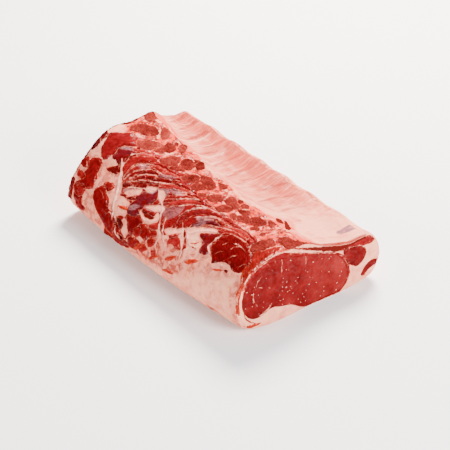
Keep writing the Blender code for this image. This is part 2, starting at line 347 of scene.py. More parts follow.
class Painting:
    """What shows at each spot of a surface, built up like a painting, in millimetres.

    meat is how far a spot lies inside red muscle, below 0 in fat, and strand how far inside white
    sinew. tone runs from 0, dark, to 1, bright. film is dark violet skin, the silver-and-sheen field
    pale silver skin with its sheen painted in as a painted highlight, orange a stain, bone spongy bone,
    and blood reddens fat. across and run place a spot in its bundle,
    for the fibres to follow."""

    REACH, FAR_OFF = 14.0, -20.0
    FIELDS = ("tone", "film", "orange", "bone", "silver", "blood")
    SHEATH = 0.55
    RAGGED, RAGGED_PITCH, RAGGED_SEEDS = 1.4, 9.0, (41, 57)
    GRAIN_STEPS = (37.0, 11.0)

    def __init__(self, spots, ragged=None):
        self.spots = np.asarray(spots, float).reshape(-1, 2)
        count = len(self.spots)
        shake = [wander(self.spots, self.RAGGED_PITCH, seed, 3) for seed in self.RAGGED_SEEDS]
        self.shaken = self.spots + np.stack(shake, 1) * (self.RAGGED if ragged is None else ragged)
        self.meat, self.strand = np.full(count, self.FAR_OFF), np.full(count, self.FAR_OFF)
        self.fields = {name: np.zeros(count) for name in self.FIELDS}
        self.across, self.run = self.spots[:, 1].copy(), self.spots[:, 0].copy()
        self.laid = 0

    def near(self, line):
        """The spots in reach of a line."""
        low, high = line.min(axis=0) - self.REACH, line.max(axis=0) + self.REACH
        return np.where(((self.shaken > low) & (self.shaken < high)).all(axis=1))[0]

    def along_curve(self, half, points):
        """The spots near a curve, their depth in a leaf shape round it, and their place on it."""
        line = spline_through(points)
        at = self.near(line)
        away, across, run = to_line(self.shaken[at], line)
        share = np.clip(run / max(np.linalg.norm(np.diff(line, axis=0), axis=1).sum(), 1e-6), 0, 1)
        width = half * (0.25 + 0.75 * np.sin(math.pi * (0.06 + 0.88 * share)) ** 0.7)
        return at, width - away, across, run

    def in_outline(self, points):
        """The spots near a closed outline, and how deep they lie inside it."""
        outline = closed_spline(points, np.arange(len(points) * 4) / 4)
        at = self.near(outline)
        away = to_line(self.shaken[at], np.concatenate([outline, outline[:1]]))[0]
        return at, np.where(inside(self.shaken[at], outline), away, -away)

    def lay(self, at, depth, across, run, sheath, fields):
        """Puts muscle over what is there, with a white sheath round it."""
        self.laid += 1
        won = depth > 0
        edge = -(sheath - np.abs(depth + sheath))
        outside = np.where(edge < 0, np.minimum(self.meat[at], edge), self.meat[at])
        self.meat[at] = np.where(won, depth, outside)
        self.strand[at] = np.where(won, np.minimum(self.strand[at], -depth), self.strand[at])
        self.across[at[won]] = across[won] + self.GRAIN_STEPS[0] * self.laid
        self.run[at[won]] = run[won] + self.GRAIN_STEPS[1] * self.laid
        for name, values in self.fields.items():
            values[at[won]] = fields.get(name, 0.0)

    def bundle(self, half, points, sheath=SHEATH, **fields):
        """A leaf-shaped muscle bundle along a curve, half its width at the thickest."""
        at, depth, across, run = self.along_curve(half, points)
        self.lay(at, depth, across, run, sheath, fields)

    def patch(self, points, fibre=(1.0, 0.3), sheath=SHEATH, grow=0.0, **fields):
        """Muscle inside a closed outline, with fibres along one direction."""
        at, depth = self.in_outline(points)
        depth = depth + grow
        way = np.array(fibre) / np.linalg.norm(fibre)
        self.lay(at, depth, self.spots[at] @ (-way[1], way[0]), self.spots[at] @ way, sheath, fields)

    def sinew(self, half, points):
        """A white strand over what is there."""
        at, depth, _, _ = self.along_curve(half, points)
        self.strand[at] = np.maximum(self.strand[at], depth)

    def clear(self, points):
        """Leaves fat inside a closed outline."""
        at, depth = self.in_outline(points)
        self.meat[at] = np.minimum(self.meat[at], -depth)

    def tint(self, field, amount, points, fade=1.2):
        """Brings one field up to an amount inside a closed outline, fading at its edge."""
        at, depth = self.in_outline(points)
        self.fields[field][at] = np.maximum(self.fields[field][at], amount * smooth(-fade, fade, depth))


# What shows on the chine side, by pixels of the photo: first the whole red band, then muscles by
# their outlines, with tone, violet skin and the way their fibres run along and round the joint.
RED_BAND = (
    (120, 151), (137, 143), (150, 150), (163, 157), (171, 167), (182, 173), (193, 181), (198, 191),
    (206, 199), (214, 207), (226, 214), (236, 224), (247, 231), (257, 239), (262, 247), (256, 254),
    (250, 262), (244, 271), (232, 270), (228, 263), (213, 262), (208, 253), (198, 252), (190, 245),
    (184, 250), (178, 250), (170, 244), (160, 245), (152, 240), (140, 238), (131, 239), (122, 240),
    (116, 234), (115, 220), (118, 204), (121, 190), (122, 176), (124, 162),
)
CHINE_PATCHES = (
    (0.5, 0.15, (0.6, -0.8), (
        (110, 132.5), (119.3, 132), (128.5, 132.5), (137.7, 138.3), (140.5, 143), (137.7, 146.3),
        (129.6, 145.8), (121.6, 146.3), (117, 149.8), (114.7, 153.2), (110, 156.7), (104.4, 159.5),
        (101.5, 155.5), (101.5, 148.6), (104.4, 141.7), (107.8, 136),
    )),
    (0.3, 0.6, (0.7, -0.7), (
        (119.3, 148), (134.2, 147.5), (136.5, 152), (128.5, 156.7), (123.9, 162.4), (119.3, 164.7),
        (115.8, 160), (112.4, 157.2), (115.8, 153.2),
    )),
    (0.08, 0.4, (0.6, -0.8), (
        (100.9, 133.7), (107.8, 130.8), (106.7, 136), (100.9, 141.7), (95.2, 147.5), (88.4, 150),
        (92, 142.9), (97, 136),
    )),
    (0.12, 0.0, (1, 0), (
        (106.7, 167.6), (114.7, 165.8), (119.3, 165), (120.4, 169.3), (117, 173.9), (112.4, 172.7),
    )),
    (0.55, 0.0, (0.8, -0.6), (
        (135.4, 156.7), (153.7, 157.4), (157, 161), (146.8, 162.4), (135.4, 163.5), (128.5, 169.3),
        (123.9, 176.2), (122.7, 169.3), (125, 163.5), (129.6, 159),
    )),
    (0.42, 0.0, (0.2, 1.0), (
        (90.6, 159), (99.2, 157.8), (102, 162.4), (99.2, 169.3), (96.3, 173.9), (96.9, 178.5), (94, 181.9),
        (92.9, 187.7), (86, 188.8), (75.7, 185.4), (75.7, 181.9), (81.4, 178.5), (83.7, 171.6), (88.3, 167),
    )),
    (0.5, 0.0, (1, 0), (
        (82.6, 157.8), (88.3, 156.7), (89.4, 162.4), (87.1, 167), (82.6, 165.8), (80.8, 161.3),
    )),
    (0.4, 0.0, (1, 0.4), ((104.4, 183), (112.4, 183), (115, 187), (109, 191), (104.4, 187.7))),
    (0.5, 0.0, (0.1, 1), (
        (74, 191), (81.4, 190), (82.6, 195.7), (81.4, 202.6), (84.9, 208.3), (82.6, 210.6), (78, 207.2),
        (74.5, 200.3),
    )),
    (0.42, 0.0, (0.15, 1), (
        (94, 190), (103.2, 185.4), (105.5, 192.2), (109, 200.3), (107.8, 208.3), (112.4, 213),
        (114.7, 224.4), (113.5, 232.4), (117, 238.2), (105.5, 233.6), (104.4, 226.7), (100.9, 219.8),
        (97.5, 213), (94.6, 204.9), (92.9, 196.8),
    )),
    (0.3, 0.0, (0.1, 1), (
        (72.8, 176.2), (75.1, 178.5), (73.9, 185.4), (72.2, 190), (71.1, 199.1), (68.2, 196.8),
        (69.3, 187.7), (71.1, 180.8),
    )),
    (0.55, 0.0, (0.3, 1), ((75, 184), (84, 186), (85, 190), (81.6, 195), (75.6, 194), (73.6, 189))),
    (0.6, 0.0, (0.3, 1), ((78.6, 169), (82.6, 171.6), (84.4, 176.4), (80.4, 178.4), (77.4, 174))),
    (0.5, 0.0, (0.2, 1), ((113, 232), (118, 238.6), (125, 241), (131, 247), (124, 246.4), (116, 241.6))),
    (0.25, 0.75, (0.9, -0.3), (
        (158.3, 190), (157.2, 196.8), (152.6, 202.6), (144.5, 204.9), (140, 210.6), (135.4, 216.4),
        (128.5, 215.2), (126.2, 210.6), (130.8, 203.7), (135.4, 199.1), (137.7, 193.4), (146.8, 192.2),
    )),
    (0.3, 0.45, (0.5, 0.8), (
        (198.9, 234), (210.4, 232.8), (220.7, 235.1), (215, 239.7), (209.2, 245.4), (209.2, 252.3),
        (203.5, 254.6), (197.7, 250), (201.2, 246.6), (203.5, 242),
    )),
    (0.24, 0.05, (0.75, 0.6), (
        (210.4, 246.6), (215, 243.1), (219.5, 237.4), (225.3, 236.3), (232.2, 235.1), (237.9, 238.5),
        (244.8, 242), (249.4, 246.6), (250.5, 253.5), (255.1, 258.1), (251.7, 262.7), (247.1, 267.2),
        (244.8, 271.8), (237.9, 273), (232.2, 270.7), (229.9, 265), (221.8, 261.5), (212.1, 262.7),
        (211.5, 254.6),
    )),
    (0.35, 0.1, (0.2, 1), (
        (125, 215), (133, 217), (140, 215), (142.2, 226.7), (140, 233), (128.5, 233), (126, 223),
    )),
    (0.55, 0.0, (0.2, 1), ((144, 221), (151, 222), (158, 216), (158.3, 226.7), (154.5, 232), (148, 229))),
)
# Bundles of the band: half width in millimetres, tone, violet skin, and the pixels they run through.
CHINE_BUNDLES = (
    (3.2, 0.7, 0.0, ((132, 149), (140, 150.5), (148, 152), (157, 156))),
    (3.0, 0.85, 0.0, ((138, 154.3), (146, 154.6), (154, 156))),
    (4.2, 0.6, 0.0, ((124.5, 177), (130, 170.5), (139, 167), (151, 167))),
    (4.6, 0.7, 0.0, ((151, 165), (160, 169), (168, 173.9), (178, 176.5))),
    (3.6, 0.35, 0.4, ((138, 174.5), (147, 171.6), (159, 174.4))),
    (4.2, 0.3, 0.25, ((134, 179.5), (144.5, 176.6), (156, 178.8), (166, 181), (178, 181.4))),
    (2.8, 0.85, 0.0, ((122.7, 181), (128, 179), (134, 178))),
    (5.0, 0.3, 0.15, ((123, 185.8), (133, 184), (142.2, 185.4), (152.6, 186.5), (160, 185))),
    (3.4, 0.8, 0.0, ((160, 184.6), (174.4, 186.3), (186, 190.6), (194, 194))),
    (3.2, 0.15, 0.1, ((120.4, 194.3), (128.5, 196.8), (135, 199.6))),
    (3.0, 0.65, 0.0, ((163, 196), (174.4, 196.6), (186, 196.4), (196, 197.8))),
    (2.4, 0.8, 0.0, ((170, 191.6), (178, 192.6), (186, 194))),
    (5.2, 0.8, 0.0, ((165, 204.3), (176.7, 202.6), (188.2, 201.4), (199, 203))),
    (3.6, 0.35, 0.3, ((155, 205.6), (161, 204.6), (168, 203.6))),
    (3.4, 0.5, 0.3, ((157, 209.3), (164, 209.5), (171, 208.6))),
    (4.4, 0.25, 0.1, ((143, 212.4), (147.5, 217.5), (153, 217.6))),
    (2.6, 0.7, 0.0, ((196, 206.5), (205, 207), (214, 209.5), (222, 212))),
    (5.8, 0.4, 0.35, ((171, 230), (178, 222.5), (187.5, 215), (201, 211.3), (215, 214), (227, 218.5))),
    (2.6, 0.75, 0.0, ((204, 217.6), (213, 218), (222, 221), (231, 225))),
    (5.4, 0.12, 0.9, ((187, 231), (196, 225), (207, 222), (219, 225))),
    (4.0, 0.7, 0.0, ((213, 228), (223, 229.6), (234, 232.8), (246, 239.5))),
    (3.4, 0.85, 0.0, ((224, 225.5), (234, 229), (244, 233.6), (252, 241))),
    (2.8, 0.5, 0.2, ((186, 233), (194, 231), (203, 230), (212, 231.5))),
    (2.6, 0.6, 0.0, ((163, 223), (166, 217), (172, 213))),
    (3.0, 0.3, 0.1, ((160.5, 232), (161.5, 226), (163, 221))),
)
# Fat between the bundles, by outline.
FAT_PATCHES = (
    ((123.9, 192.2), (133.1, 188.8), (142.2, 190), (140, 193.4), (134.2, 195.7), (128.5, 195.7)),
    ((145.7, 190.5), (146.8, 186.5), (157.2, 187.7), (156, 190.5), (150.3, 192.2)),
    ((158.9, 190), (165.2, 192.2), (164, 200.3), (159.5, 202.6)),
    ((118, 195.7), (128.5, 200.3), (129.5, 204.9), (120, 206), (116, 201.4)),
    (
        (140.5, 209.5), (145.7, 217.5), (152.6, 219.4), (157.2, 212.6), (160, 216), (156, 222), (148, 224),
        (141, 218),
    ),
    ((145.7, 206.2), (162.9, 205.4), (165.2, 209.5), (158.3, 211.8), (150.3, 209.5)),
    (
        (165, 229), (181, 228), (199, 227), (217, 229), (217, 233.4), (200, 233.4), (201, 244), (197, 253),
        (188, 251), (186, 240), (187, 234), (178, 233.4), (166, 234),
    ),
    ((118, 207), (127, 211), (125, 216.6), (121, 215), (115, 216)),
    ((152, 232), (160, 230), (161, 240), (150, 244), (146, 242), (152, 238)),
    ((139, 236), (146, 242), (143, 250), (132, 246), (126, 239)),
    ((160, 237), (168, 235), (167, 247), (158, 250)),
    ((178, 236), (183, 233), (183, 246), (180, 252)),
    ((123, 218), (126, 220), (127, 234), (124, 238), (121, 232)),
)
# Pockets that show through the fat below the band, by tone and outline.
POCKETS = (
    (0.65, (
        (166.7, 239.7), (173, 238), (179.4, 237.4), (180.5, 244.3), (179.4, 250), (174.8, 248.9),
        (172.5, 244.3), (167, 244.3),
    )),
    (0.45, (
        (136.9, 225.9), (146, 223.6), (150.7, 230.5), (156.4, 230.5), (156.8, 236.3), (149.5, 237),
        (146, 241), (139.2, 236.3),
    )),
    (0.5, ((146.5, 240), (155.3, 239.7), (153, 245.4), (147.6, 247))),
    (0.02, ((116.2, 218), (120.2, 219), (122.8, 226), (121, 229.6), (117.6, 225))),
    (0.02, ((117.4, 233), (121.6, 236.4), (123.4, 240.4), (119.5, 239.4))),
    (0.15, ((184.4, 229), (186, 232), (184.8, 238.4), (183.2, 234))),
    (0.9, ((188.5, 241.6), (194.3, 242.6), (199, 241.6), (194.5, 244.6))),
    (0.6, ((188.8, 245.6), (194.5, 246.8), (198.6, 246.4), (194, 248.6))),
    (0.05, ((224.5, 269.2), (229, 270.6), (227.6, 272.8), (223.5, 271.6))),
    (0.5, ((127, 238), (133, 237), (138, 240), (140, 246), (135, 250), (129, 247))),
    (0.7, ((139, 247), (144, 245), (147, 249), (143, 253), (138, 251))),
    (0.6, ((134, 228), (139, 226), (141, 232), (138, 237), (133, 235))),
    (0.75, ((150, 251), (155, 250), (156, 254), (151, 256))),
)
# Sawn faces of the vertebrae: lobes of red spongy bone, by tone and outline, from the eye cut on.
BONE_LOBES = (
    (0.5, (
        (251, 246.6), (259.7, 241), (270, 239), (276, 243.6), (267.7, 247.7), (258.6, 250.4), (251, 251.4),
    )),
    (0.5, (
        (278, 238.8), (290.7, 238.5), (302.2, 242), (310, 246), (299.9, 248.9), (288.4, 248.9),
        (282, 244.3),
    )),
    (0.5, ((237.9, 216.7), (248.2, 216.7), (249.4, 222.5), (240.2, 221.8))),
    (0.45, ((251.7, 217.9), (259.7, 217.6), (266, 222.5), (258.6, 226), (251.7, 224.8))),
    (0.4, ((251, 227), (259, 227.4), (257.6, 230.4), (252, 229.6))),
    (0.6, ((269.5, 221), (275.6, 224), (271, 227.6))),
    (0.6, ((277, 218.4), (281, 219.6), (282.6, 223.6), (278.4, 222.6))),
    (0.35, ((285.6, 221), (287.6, 223), (289.4, 230), (286.6, 229.4))),
    (0.6, ((261.4, 232.6), (265, 233), (264, 236), (261, 235.4))),
    (0.55, ((207.5, 196.4), (214, 195), (221.8, 196), (221.4, 201.4), (211, 201.2))),
    (0.5, ((226, 199), (233.5, 197.8), (238.4, 203), (238, 208), (232.2, 207.6), (226, 203.6))),
    (0.4, ((215.6, 207.6), (224, 204.8), (233.6, 209), (229, 211.4), (219.5, 211))),
    (0.3, ((239, 199.6), (242.8, 200.2), (242, 203.4), (239.2, 203))),
    (0.4, ((243, 203.8), (248.6, 205.4), (247.4, 209), (243.2, 208.4))),
    (0.45, ((238.6, 211), (246, 210.6), (250, 213), (244, 216))),
    (0.7, ((231, 213.6), (235.8, 214.6), (234.6, 219), (231.4, 218))),
    (0.5, ((182, 176.4), (192.8, 174.8), (200, 178.5), (196.2, 182.2), (187, 181.6))),
    (0.45, ((202.6, 176.8), (211, 178.5), (216, 185.4), (211.4, 190), (204, 186.4), (200.8, 181.6))),
    (0.25, ((191.4, 185.6), (199.7, 183.4), (206, 187), (202, 190), (192.8, 189))),
    (0.45, ((220.3, 184), (226.4, 185), (225.6, 189.4), (220.6, 189))),
    (0.6, ((198.4, 192.8), (205.6, 193.6), (204.6, 196.2), (199, 195.6))),
    (0.6, ((160.4, 159), (169.8, 157), (180.4, 158.2), (179.4, 162.4), (172.1, 166), (164, 163.8))),
    (0.4, ((184.2, 159.4), (191.6, 160), (194.6, 164.7), (189.3, 169.8), (184.4, 169), (181, 165.4))),
    (0.3, ((169.4, 168), (179, 166.4), (184.4, 170), (176.7, 170.4))),
    (0.05, ((197.2, 163.2), (203.4, 162.6), (202.4, 169.6), (197.6, 169.6))),
    (0.5, ((194.6, 159.8), (198, 160.8), (196.2, 162.2))),
    (0.6, (
        (137.7, 140.2), (146.8, 140.2), (158.3, 142.6), (163, 146), (156, 147.6), (150.3, 149.6),
        (142.2, 147.4),
    )),
    (0.4, ((153.4, 151), (160.6, 147.8), (169.4, 143.2), (175.8, 147.3), (173.4, 151.4), (162.9, 152.4))),
    (0.3, ((175.4, 142.6), (178.4, 143.2), (178, 145.6), (175.6, 145.2))),
    (0.65, ((179.6, 145.4), (186, 145.2), (185.4, 151), (181.6, 153.6))),
    (0.5, (
        (131.2, 126.8), (136, 124.4), (146.8, 125.4), (157.4, 129), (157.6, 134), (152.6, 136.2),
        (142.2, 133.4), (133, 130.4),
    )),
    (0.75, ((162, 128.8), (168.2, 129.2), (167.8, 138.4), (163, 139))),
    (0.9, ((145.4, 112), (152.8, 111.4), (153, 121), (146.4, 120.4))),
    (0.2, ((118, 121.4), (127, 120.6), (131, 122), (124, 124))),
    (0.2, ((131.4, 119.4), (136.4, 117.4), (137, 119.4))),
)
# The red strip of meat along the front rim, between the bundles and the seam of the eye cut.
SEAM_BAND = (
    (281, 246.8), (276, 254), (270, 258), (263, 262.8), (257.6, 268.6), (252.2, 275), (248.4, 281.4),
    (245.6, 286.8), (243, 292), (240.6, 289.6), (242, 282), (243.2, 274), (245, 269), (249.4, 265),
    (251.4, 259), (252.6, 253.6), (258, 251), (266, 249.6), (273, 247),
)
SEAM_MEAT = {"fibre": (0.6, 0.8), "sheath": 0.2, "tone": 0.5, "orange": 0.12}
# Fresh orange-red stains in the lower fat: half width, strength and pixels.
ORANGE_SPOTS = (
    (4.6, 0.85, ((185, 262.4), (191.4, 261.3), (197.6, 260.8))),
    (4.0, 0.55, ((164.5, 259.4), (170, 258.3), (176, 256))),
    (3.6, 0.45, ((148.5, 258.6), (152.4, 257.3), (157, 256.6))),
    (4.6, 0.5, ((133.5, 249), (138.6, 246.4), (144, 244.5))),
    (2.6, 0.85, ((212.6, 269.4), (217.5, 270.2), (223, 270.2))),
    (3.4, 0.6, ((162, 269.6), (167, 271), (172, 274))),
    (3.0, 0.9, ((119.3, 206.2), (123.5, 207.6), (127.6, 209.5))),
    (1.8, 0.5, ((189, 254.6), (194, 254.2))),
    (2.2, 0.75, ((246.5, 266), (243.6, 271.6), (241, 278.6), (240.4, 284))),
    (3.0, 0.7, ((242, 284), (239.4, 290), (236, 296.4))),
    (2.6, 0.6, ((103, 224), (108, 231), (115, 238))),
    (1.1, 0.5, ((244, 286), (241.6, 298), (241.6, 309), (244, 319))),
    (0.9, 0.4, ((237, 288), (235.4, 300), (236, 313))),
    (0.8, 0.35, ((231, 286), (230, 298), (231.6, 310))),
    (1.6, 0.6, ((228, 318), (233, 321.5), (240, 325.4))),
    (1.0, 0.5, ((196, 301), (204, 305.6), (214, 311.4))),
)
# White sinew over the bundles and the fat: half width in millimetres and pixels.
CHINE_STRANDS = (
    (2.8, (
        (122.6, 159), (121.8, 169.3), (120, 177), (118.4, 185), (116.6, 194), (114.2, 202.6), (113, 211.8),
        (112.6, 219),
    )),
    (2.0, (
        (158.7, 188), (159, 198.4), (162.6, 207.6), (160.6, 217.9), (159, 229.4), (159.4, 237.4),
        (155, 244.3), (156.4, 252),
    )),
    (1.7, ((182.8, 223), (182.4, 235.1), (180.8, 244.3), (181.4, 251.2), (178.6, 261))),
    (1.6, ((187.4, 226.5), (187.6, 238), (189.7, 244.3), (196.6, 248.6))),
    (1.5, ((166.6, 216), (163.8, 226), (162.8, 236), (164.6, 247))),
    (1.3, ((209.4, 255), (208.8, 247), (212.6, 242.4), (218.6, 237.2), (226, 233.6))),
    (1.6, ((188, 233.2), (197, 231.6), (208, 230.6), (219, 233))),
    (1.7, ((139, 211), (144.6, 219.6), (152, 221.4), (159, 217.6))),
    (1.1, ((122.5, 164.6), (127, 157.4), (135, 154.2), (143, 154.6))),
    (1.0, ((123.4, 178), (128, 172.6), (134.5, 167.2), (145, 164.6), (157, 164))),
    (0.9, ((124, 179.6), (131, 174.6), (139, 170.8), (150, 169.6), (160, 172.8), (170, 177), (181, 178.6))),
    (0.9, ((129, 179.4), (136, 175.8), (146, 174.4), (157, 176.4))),
    (1.0, ((123, 183.4), (133, 181), (144, 180.8), (156, 182.4), (168, 183.6), (181, 184.6), (191, 188.6))),
    (0.9, ((121, 190.6), (131, 187.6), (142, 188.6), (153, 189.4), (160, 188.6))),
    (1.0, ((162, 200), (174, 199.6), (186, 198.8), (197, 199.8), (207, 203.6))),
    (1.1, ((160, 207.6), (171, 207), (184, 206), (197, 205.6), (209, 208.6), (219, 213))),
    (0.9, ((176, 219.6), (187, 211.4), (199, 208.4), (211, 210), (223, 214.6), (231, 219))),
    (1.1, ((186, 221.4), (195, 218), (206, 217), (217, 219), (228, 224.4))),
    (0.9, ((196, 229.2), (207, 226.4), (219, 227.2), (231, 230.6), (243, 236.4))),
    (0.8, ((222, 223), (232, 226.6), (243, 231), (252, 237.4))),
    (0.7, ((172, 188.8), (181, 190), (190, 193))),
    (1.0, ((101.6, 139), (99.4, 146), (97.4, 153), (91, 156.4))),
    (0.8, ((108.4, 132.4), (102.6, 142), (100.6, 152), (104, 161))),
    (0.8, ((140, 147.6), (150, 151), (160, 154.6), (170, 155.6), (181, 156.6))),
    (0.7, ((160, 164.6), (170, 168.4), (180, 172.2), (190, 173))),
    (0.8, ((177, 173), (187, 172.6), (197, 175), (203, 181), (201, 188))),
    (0.8, ((200, 190.6), (208, 192.6), (217, 193.6), (225, 196), (231, 196.6))),
    (0.7, ((222, 203.6), (226, 209.6), (232, 212.4), (238, 214.4))),
    (0.7, ((206, 203.8), (214, 205), (222, 212.8), (231, 221))),
    (0.7, ((226, 222), (236, 224.6), (246, 227.6), (258, 236.6), (268, 238.4))),
    (0.6, ((250, 226.4), (262, 229), (274, 234), (288, 240))),
    (0.6, ((238, 224), (250, 231.6), (262, 239), (273, 249))),
    (0.5, ((256, 247.6), (262, 243.6), (272, 242.6), (281, 246))),
    (0.5, ((284, 240), (294, 243.4), (306, 248.6))),
    (0.5, ((286, 247.6), (296, 243), (308, 244.4))),
    (0.6, ((134, 127.4), (143, 128), (152, 128.2))),
    (0.5, ((137, 130.4), (146, 131.6), (155, 130.6))),
    (0.7, ((223, 245.6), (228, 243), (231, 243.6))),
    (0.7, ((214, 255.4), (219, 252), (224, 251.8))),
    (0.7, ((227, 261), (232, 257), (238, 255.4))),
    (0.7, ((231, 250), (236, 247.4), (242, 247.6))),
    (0.8, ((238, 268.4), (242, 265.6), (248, 264.8))),
    (1.1, ((212.6, 264.8), (220, 264.4), (229, 268.4))),
    (0.7, ((99.4, 190), (102.6, 193), (104, 199.6))),
    (0.7, ((103, 199), (106.6, 198.6), (107.6, 204))),
    (0.9, ((106.4, 213.6), (110, 212), (111.6, 215))),
    (0.7, ((84, 158.6), (87.6, 162.6), (85.6, 167.6), (81, 168.6))),
    (0.6, ((78.6, 190), (80.6, 197), (79.6, 203))),
    (0.8, ((94, 182.4), (98.4, 186.6), (104.6, 184.6))),
    (0.8, ((233, 243), (240, 246.6), (246, 252.6))),
)
# Pale silver skin stretched over the bundles, with its sheen painted in as pale streaks: a painted
# highlight.
SILVER_SKIN_AND_SHEEN_PATCHES = (
    (0.9, ((123.9, 190), (135.4, 188.6), (142.2, 190), (135.4, 193.6), (128.5, 193.4))),
    (0.9, ((146.8, 190), (158.3, 187.7), (156, 192.2), (149, 193.4))),
    (0.8, ((159.5, 190), (169.8, 190), (167.5, 195.7), (161.8, 196.8))),
    (0.8, ((170, 189.6), (178, 190), (184, 195.6), (175, 194.6))),
    (0.8, ((145.7, 206), (156, 206.6), (164, 208.8), (163, 211.8), (154.9, 212.4), (146.8, 209.5))),
    (0.36, ((164, 209.5), (175, 207.4), (184.8, 207.2), (181.3, 213), (174.4, 218), (165.2, 219.8))),
    (0.6, ((159, 174), (170, 175.6), (177, 178.4), (168, 179.4), (160, 177))),
    (0.7, ((119.5, 147.6), (127, 146.6), (134, 150), (128, 150.6))),
    (0.6, ((196, 219), (206, 216.4), (216, 218.6), (208, 221), (199, 222.4))),
    (0.55, ((136.5, 166), (144, 164.6), (150, 167), (143, 168.6))),
    (0.5, ((190, 228.6), (200, 222.6), (206, 223), (197, 228))),
    (0.5, ((128, 208), (135, 204.6), (140, 206), (133, 211))),
)
# Fat that is stained red between the bones and thinly below the band: amount, fade and outline.
BLOODY_ZONES = (
    (1.4, 5.0, (
        (128, 118), (146, 108), (162, 110), (172, 128), (184, 143), (198, 155), (208, 170), (226, 182),
        (238, 197), (254, 206), (270, 215), (291, 221), (298, 233), (316, 243), (316, 250), (280, 254),
        (258, 252), (246, 240), (232, 228), (214, 214), (204, 202), (192, 190), (182, 180), (166, 170),
        (150, 154), (136, 146), (126, 132),
    )),
    (0.4, 8.0, (
        (126, 240), (150, 240), (180, 250), (210, 256), (236, 274), (226, 278), (200, 274), (176, 276),
        (150, 264), (130, 254),
    )),
    (0.75, 5.0, ((126, 238), (160, 236), (184, 250), (178, 274), (160, 267), (136, 254))),
    (0.45, 6.0, (
        (72, 180), (84, 152), (104, 160), (120, 168), (118, 200), (112, 236), (96, 224), (78, 212),
    )),
    (0.5, 3.0, ((236, 280), (246, 276), (242, 300), (248, 322), (236, 322), (228, 300))),
    (0.7, 2.0, ((196, 300), (206, 305), (218, 312), (216, 315), (204, 309))),
)
CHINE_PITCH = 1.12
CHINE_DEPTH = ((4, 8, 9), (8, 17, 20), (12, 14, 15))
HIDDEN_PITCH, FAR_PITCH = 9.0, 2.5
# Over which share of its breadth a layer thickens from its first rim, and thins to its last.
LAYER_GROWS, LAYER_THINS = (0, 0.3), (0.55, 0.8)
BONE_MARK, BONE_HALF_GIRTH, BONE_LEAN = 6.15, 0.62, 5.0
BONE_DEPTH, BONE_PROUD = 8.0, 0.8
# Half the gap between two sawn faces, how square a face is, and how far its rim stays off a cut.
BONE_GAP, BONE_SQUARE, BONE_INSET = 3.5, 2.6, 0.3
LOBE_GROW = 1.5


def layer_depth(along, share, depths):
    """How deep a layer goes: depths hold its first rim, its middle and its last rim."""
    rim, middle, end = (along_quadratic(values, np.clip(along / LENGTH, 0, 1)) for values in depths)
    grown, thinned = smooth(*LAYER_GROWS, share), smooth(*LAYER_THINS, share)
    return rim + (middle - rim) * grown + (end - middle) * thinned


def bone_reach(along, places, middle, half):
    """0 at the middle of a sawn vertebra and 1 at its outline."""
    across = (places - BONE_MARK) / BONE_HALF_GIRTH
    reach = (along - middle + across * BONE_LEAN) / (half - BONE_GAP)
    return (np.abs(across) ** BONE_SQUARE + np.abs(reach) ** BONE_SQUARE) ** (1 / BONE_SQUARE)


def chine_painting(spots):
    """The bundles, muscles, lobes of bone, stains and strands of the chine side at some spots."""
    paint = Painting(spots)
    paint.patch(under_pixels(RED_BAND), fibre=(1.0, -0.2), tone=0.5, film=0.1)
    for tone, film, fibre, pixels in CHINE_PATCHES:
        paint.patch(under_pixels(pixels), fibre, sheath=0.6, grow=1.0, tone=tone, film=film)
    for half, tone, film, pixels in CHINE_BUNDLES:
        paint.bundle(half, under_pixels(pixels), tone=tone, film=film)
    for pixels in FAT_PATCHES:
        paint.clear(under_pixels(pixels))
    paint.patch(under_pixels(SEAM_BAND), **SEAM_MEAT)
    for half, pixels in CHINE_STRANDS:
        paint.sinew(half, under_pixels(pixels))
    for tone, pixels in POCKETS:
        paint.patch(under_pixels(pixels), fibre=(0.2, 1.0), tone=tone)
    for tone, pixels in BONE_LOBES:
        paint.patch(under_pixels(pixels), grow=LOBE_GROW, tone=tone, bone=1.0)
    for half, amount, pixels in ORANGE_SPOTS:
        paint.bundle(half, under_pixels(pixels), sheath=0.0, tone=0.8, orange=amount)
    for amount, pixels in SILVER_SKIN_AND_SHEEN_PATCHES:
        paint.tint("silver", amount, under_pixels(pixels))
    for amount, fade, pixels in BLOODY_ZONES:
        paint.tint("blood", amount, under_pixels(pixels), fade)
    return paint


BUNDLE_HEIGHT, STRAND_HEIGHT, FIBRE_HEIGHT, RELIEF_DROP = 1.7, 0.9, 0.35, 0.8
# Lumps: how wide they are, their place in the noise and how high they are.
LUMPS = ((16, 3.0, 1.2), (4.5, 8.0, 0.45))


def relief(paint):
    """How far meat, sheaths and strands stand up, in millimetres."""
    dome = smooth(-0.8, 4.2, paint.meat) * (1 - 0.5 * paint.fields["bone"])
    ridge = smooth(-1.4, 1.2, paint.strand)
    lumps = sum(wander(paint.spots, width, seed) * height for width, seed, height in LUMPS)
    fibres = wander(np.stack([paint.run, paint.across * 6], 1), 9, 5.0) * smooth(0.3, 2.0, paint.meat)
    return dome * BUNDLE_HEIGHT + ridge * STRAND_HEIGHT + lumps + fibres * FIBRE_HEIGHT - RELIEF_DROP


def paint_onto(mesh, painted):
    """Stores paintings on a mesh, each with the number of the first of its vertices."""
    count = len(mesh.vertices)
    values = {name: np.full(count, Painting.FAR_OFF, np.float32) for name in ("meat", "strand")}
    values.update({name: np.zeros(count, np.float32) for name in Painting.FIELDS})
    grain = np.zeros((count, 3), np.float32)
    for first, paint in painted:
        span = slice(first, first + len(paint.spots))
        values["meat"][span] = paint.meat
        values["strand"][span] = paint.strand
        for name in Painting.FIELDS:
            values[name][span] = paint.fields[name]
        grain[span, 0], grain[span, 1] = paint.across, paint.run
    for name, value in values.items():
        mesh.attributes.new(name, "FLOAT", "POINT").data.foreach_set("value", value)
    mesh.attributes.new("grain", "FLOAT_VECTOR", "POINT").data.foreach_set("vector", grain.ravel())


ROW_SHARE, JITTER, CLEARANCE = 0.87, 0.16, 0.5


